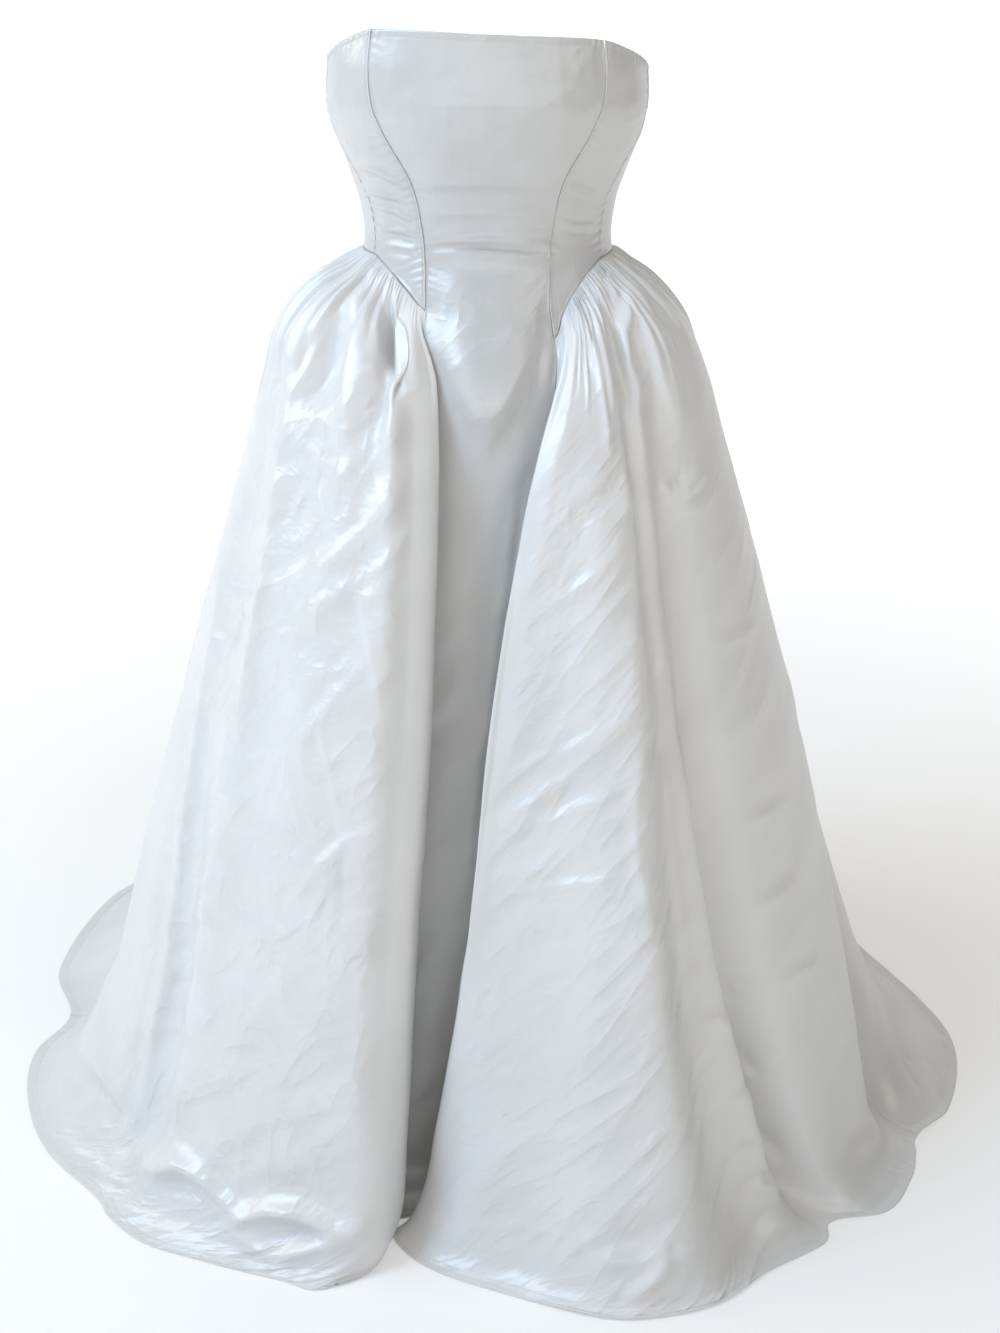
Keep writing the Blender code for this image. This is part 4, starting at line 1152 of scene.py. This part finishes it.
def stitchTree():
    # a row of stitches along each line of a mesh of edges
    tree = bpy.data.node_groups.new("stitchRow", "GeometryNodeTree")
    face = tree.interface
    face.new_socket("Geometry", in_out="INPUT", socket_type="NodeSocketGeometry")
    for name in ("Stitch Length", "Stitch Width", "Spacing"):
        face.new_socket(name, in_out="INPUT", socket_type="NodeSocketFloat")
    face.new_socket("Thread", in_out="INPUT", socket_type="NodeSocketMaterial")
    face.new_socket("Geometry", in_out="OUTPUT", socket_type="NodeSocketGeometry")
    given, result = addNode(tree, "NodeGroupInput").outputs, addNode(tree, "NodeGroupOutput")
    line = addNode(tree, "GeometryNodeMeshToCurve", {"Mesh": given["Geometry"]})
    spaced = addNode(tree, "GeometryNodeResampleCurve", {
        "Curve": line.outputs["Curve"], "Length": given["Spacing"]}, mode="LENGTH")
    bead = addNode(tree, "GeometryNodeMeshUVSphere", {"Segments": 6, "Rings": 4, "Radius": 0.5})
    along = addNode(tree, "GeometryNodeInputTangent")
    turn = addNode(tree, "FunctionNodeAlignRotationToVector", {
        "Vector": along.outputs["Tangent"]}, axis="X")
    size = addNode(tree, "ShaderNodeCombineXYZ", {
        "X": given["Stitch Length"], "Y": given["Stitch Width"], "Z": given["Stitch Width"]})
    row = addNode(tree, "GeometryNodeInstanceOnPoints", {
        "Points": spaced.outputs["Curve"], "Instance": bead.outputs["Mesh"],
        "Rotation": turn.outputs["Rotation"], "Scale": size.outputs["Vector"]})
    real = addNode(tree, "GeometryNodeRealizeInstances", {"Geometry": row.outputs["Instances"]})
    finish = addNode(tree, "GeometryNodeSetMaterial", {
        "Geometry": real.outputs["Geometry"], "Material": given["Thread"]})
    setInputs(tree, result, {"Geometry": finish.outputs["Geometry"]})
    return tree


def sewnStitches(name, lines):
    points, edges = [], []
    for line in lines:
        first = len(points)
        points += [tuple(p) for p in line]
        edges += [(first + k, first + k + 1) for k in range(len(line) - 1)]
    mesh = bpy.data.meshes.new(name + "Line")
    mesh.from_pydata(points, edges, [])
    guide = addObject(name + "Line", mesh)
    modifier = guide.modifiers.new("stitches", "NODES")
    tree = stitchTree()
    modifier.node_group = tree
    values = {"Stitch Length": stitching["length"], "Stitch Width": stitching["width"],
              "Spacing": stitching["spacing"], "Thread": whiteThread}
    for item in tree.interface.items_tree:
        if item.in_out == "INPUT" and item.name in values:
            modifier[item.identifier] = values[item.name]
    shown = guide.evaluated_get(bpy.context.evaluated_depsgraph_get())
    made = bpy.data.meshes.new_from_object(shown)
    made.name = name
    guide.modifiers.clear()
    bpy.data.objects.remove(guide)
    made.polygons.foreach_set("use_smooth", [True] * len(made.polygons))
    return addObject(name, made)


# Lines of stitches, added to as each piece is made.
stitchLines = []


def dressed(piece, node):
    # the bodice and the front panel take the darker satin, whose darker colour is painted shade
    piece.data.materials.append(skirtSatin if node.startswith("skirt") else bodiceSatinPaintedShade)
    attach(piece, "root")
    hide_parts(node)


def stitchAlong(grid, measure, target, spare=2):
    # stitches where the measure reaches the target, without a few points at each end
    stitchLines.append(sampled(grid, measure, target)[spare:-spare])


grid, normals, place, toHem, crumple = frontPanelGrid()
piece = clothPiece("frontPanel", drawnIn(grid), gown["skirtWall"], False, place, crumple)
dressed(piece, "front_panel")
_, down = clothCoordinates(grid)
lifted = grid + normals * stitching["lift"]
stitchAlong(lifted, toHem, skirtCloth["hemBand"])
stitchAlong(lifted, down, bodiceCloth["neckBand"])
print("front panel made")

sides = (("Right", -1), ("Left", 1))
for word, side in sides:
    for kind, node, makeGrid in (("bodiceSideFront", "bodice_side_front_", sideFrontGrid),
                                 ("bodiceBack", "bodice_back_", bodiceBackGrid)):
        grid, normals, place = makeGrid(side)
        crumple = np.full(grid.shape[:2], bodiceCloth["crumple"])
        piece = clothPiece(kind + word, grid, gown["bodiceWall"], side < 0, place, crumple)
        dressed(piece, node + word.lower())
        across, down = clothCoordinates(grid)
        lifted = grid + normals * stitching["lift"]
        stitchAlong(lifted, down, bodiceCloth["neckBand"])
        if kind == "bodiceSideFront":
            lifted, across = np.swapaxes(lifted, 0, 1), np.swapaxes(across, 0, 1)
            stitchAlong(lifted, across, bodiceCloth["bandWidth"], 3)
print("bodice made")

split = meshing["frontColumns"]
for word, side in sides:
    grid, normals, place, toHem, crumple = halfSkirt(side)
    for kind, node, part in (("skirtFront", "skirt_front_", np.s_[:, :split + 1]),
                             ("skirtBack", "skirt_back_", np.s_[:, split:])):
        piece = clothPiece(kind + word, drawnIn(grid[part]), gown["skirtWall"], side < 0,
                           place[part], crumple[part])
        dressed(piece, node + word.lower())
    stitchAlong(grid + normals * stitching["lift"], toHem, skirtCloth["hemBand"])
print("skirt made")

stitches = sewnStitches("stitches", stitchLines)
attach(stitches, "root")
print("stitches made")

# Camera, light and floor. The camera has the photograph's place and lens.
studio = {
    "cameraPlace": (0.013, -2.2, 0.42),
    "cameraTilt": 67,
    "lens": 54.74,
    "lampDistance": 4.5,
    "lampTarget": (0, 0, -0.3),
    # name, degrees round from the front (to the viewer's left is negative) and up, width and
    # height, power, colour
    "lamps": (
        ("keyLight", -62, 38, (2.0, 2.0), 125, (0.56, 0.765, 1.0)),
        ("sideLight", -95, 25, (2.0, 2.0), 58, (1.0, 0.90, 0.75)),
        ("topLight", 0, 80, (4.6, 1.3), 74, (1.0, 0.99, 0.93)),
        ("frontLight", 0, 15, (6.0, 1.2), 50, (1.0, 0.97, 0.93)),
        ("fillLight", 45, 30, (2.0, 2.0), 24, (1.0, 0.92, 0.83)),
    ),
    "worldColour": (1.0, 0.92, 0.82, 1),
    "worldStrength": 0.05,
}
backdrop = {
    "shader": {"Base Color": (0.62, 0.62, 0.62, 1), "Roughness": 0.9, "Specular IOR Level": 0.1,
               "Emission Color": (1, 1, 1, 1)},
    "glow": (0.29, 0.82),  # near the gown and far from it
    "glowReach": (1.1, 2.9),
    "halfWidth": 9,
    "front": -9.0,
    "bendStart": 4.8,
    "bendRadius": 1.6,
    "top": 4.0,
}

camera = addObject("camera", bpy.data.cameras.new("camera"))
camera.location = studio["cameraPlace"]
camera.rotation_euler = (math.radians(studio["cameraTilt"]), 0, 0)
camera.data.sensor_width = 36
camera.data.lens = studio["lens"]
bpy.context.scene.camera = camera

target = np.array(studio["lampTarget"], float)
for name, around, up, size, power, colour in studio["lamps"]:
    light = bpy.data.lights.new(name, "AREA")
    light.shape = "RECTANGLE"
    light.size, light.size_y = size
    light.energy = power
    light.color = colour
    a, e = math.radians(around), math.radians(up)
    lamp = addObject(name, light)
    lamp.location = target + studio["lampDistance"] * np.array(
        (math.sin(a) * math.cos(e), -math.cos(a) * math.cos(e), math.sin(e)))
    lamp.rotation_euler = (math.pi / 2 - e, 0, a)

world = bpy.data.worlds.new("studio")
world.use_nodes = True
world.node_tree.nodes["Background"].inputs["Color"].default_value = studio["worldColour"]
world.node_tree.nodes["Background"].inputs["Strength"].default_value = studio["worldStrength"]
bpy.context.scene.world = world
bpy.context.scene.view_settings.view_transform = "Standard"

# the floor gives back more light far from the gown, where the lamps reach less
floorMaterial, tree, shader = newMaterial("paleFloor", backdrop["shader"])
place = addNode(tree, "ShaderNodeTexCoord").outputs["Object"]
reach = addNode(tree, "ShaderNodeVectorMath", {0: place}, operation="LENGTH").outputs["Value"]
glow = mapped(tree, reach, *backdrop["glow"], *backdrop["glowReach"])
setInputs(tree, shader, {"Emission Strength": glow})

ground, bend, radius = -gown["waistHeight"], backdrop["bendStart"], backdrop["bendRadius"]
profile = [(backdrop["front"], ground), (bend, ground)]
profile += [(bend + radius * math.sin(t), ground + radius * (1 - math.cos(t)))
            for t in np.radians(np.arange(6, 91, 6))]
profile.append((bend + radius, backdrop["top"]))
points = [(x, y, z) for y, z in profile for x in (-backdrop["halfWidth"], backdrop["halfWidth"])]
faces = [(2 * k, 2 * k + 1, 2 * k + 3, 2 * k + 2) for k in range(len(profile) - 1)]
floorMesh = bpy.data.meshes.new("floor")
floorMesh.from_pydata(points, [], faces)
floorMesh.polygons.foreach_set("use_smooth", [True] * len(faces))
floorMesh.materials.append(floorMaterial)
floor = addObject("floor", floorMesh)
floor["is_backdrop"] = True
print("camera, light and floor set")

triangles = 0
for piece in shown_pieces():
    piece.data.calc_loop_triangles()
    triangles += len(piece.data.loop_triangles)
print("triangles", triangles)
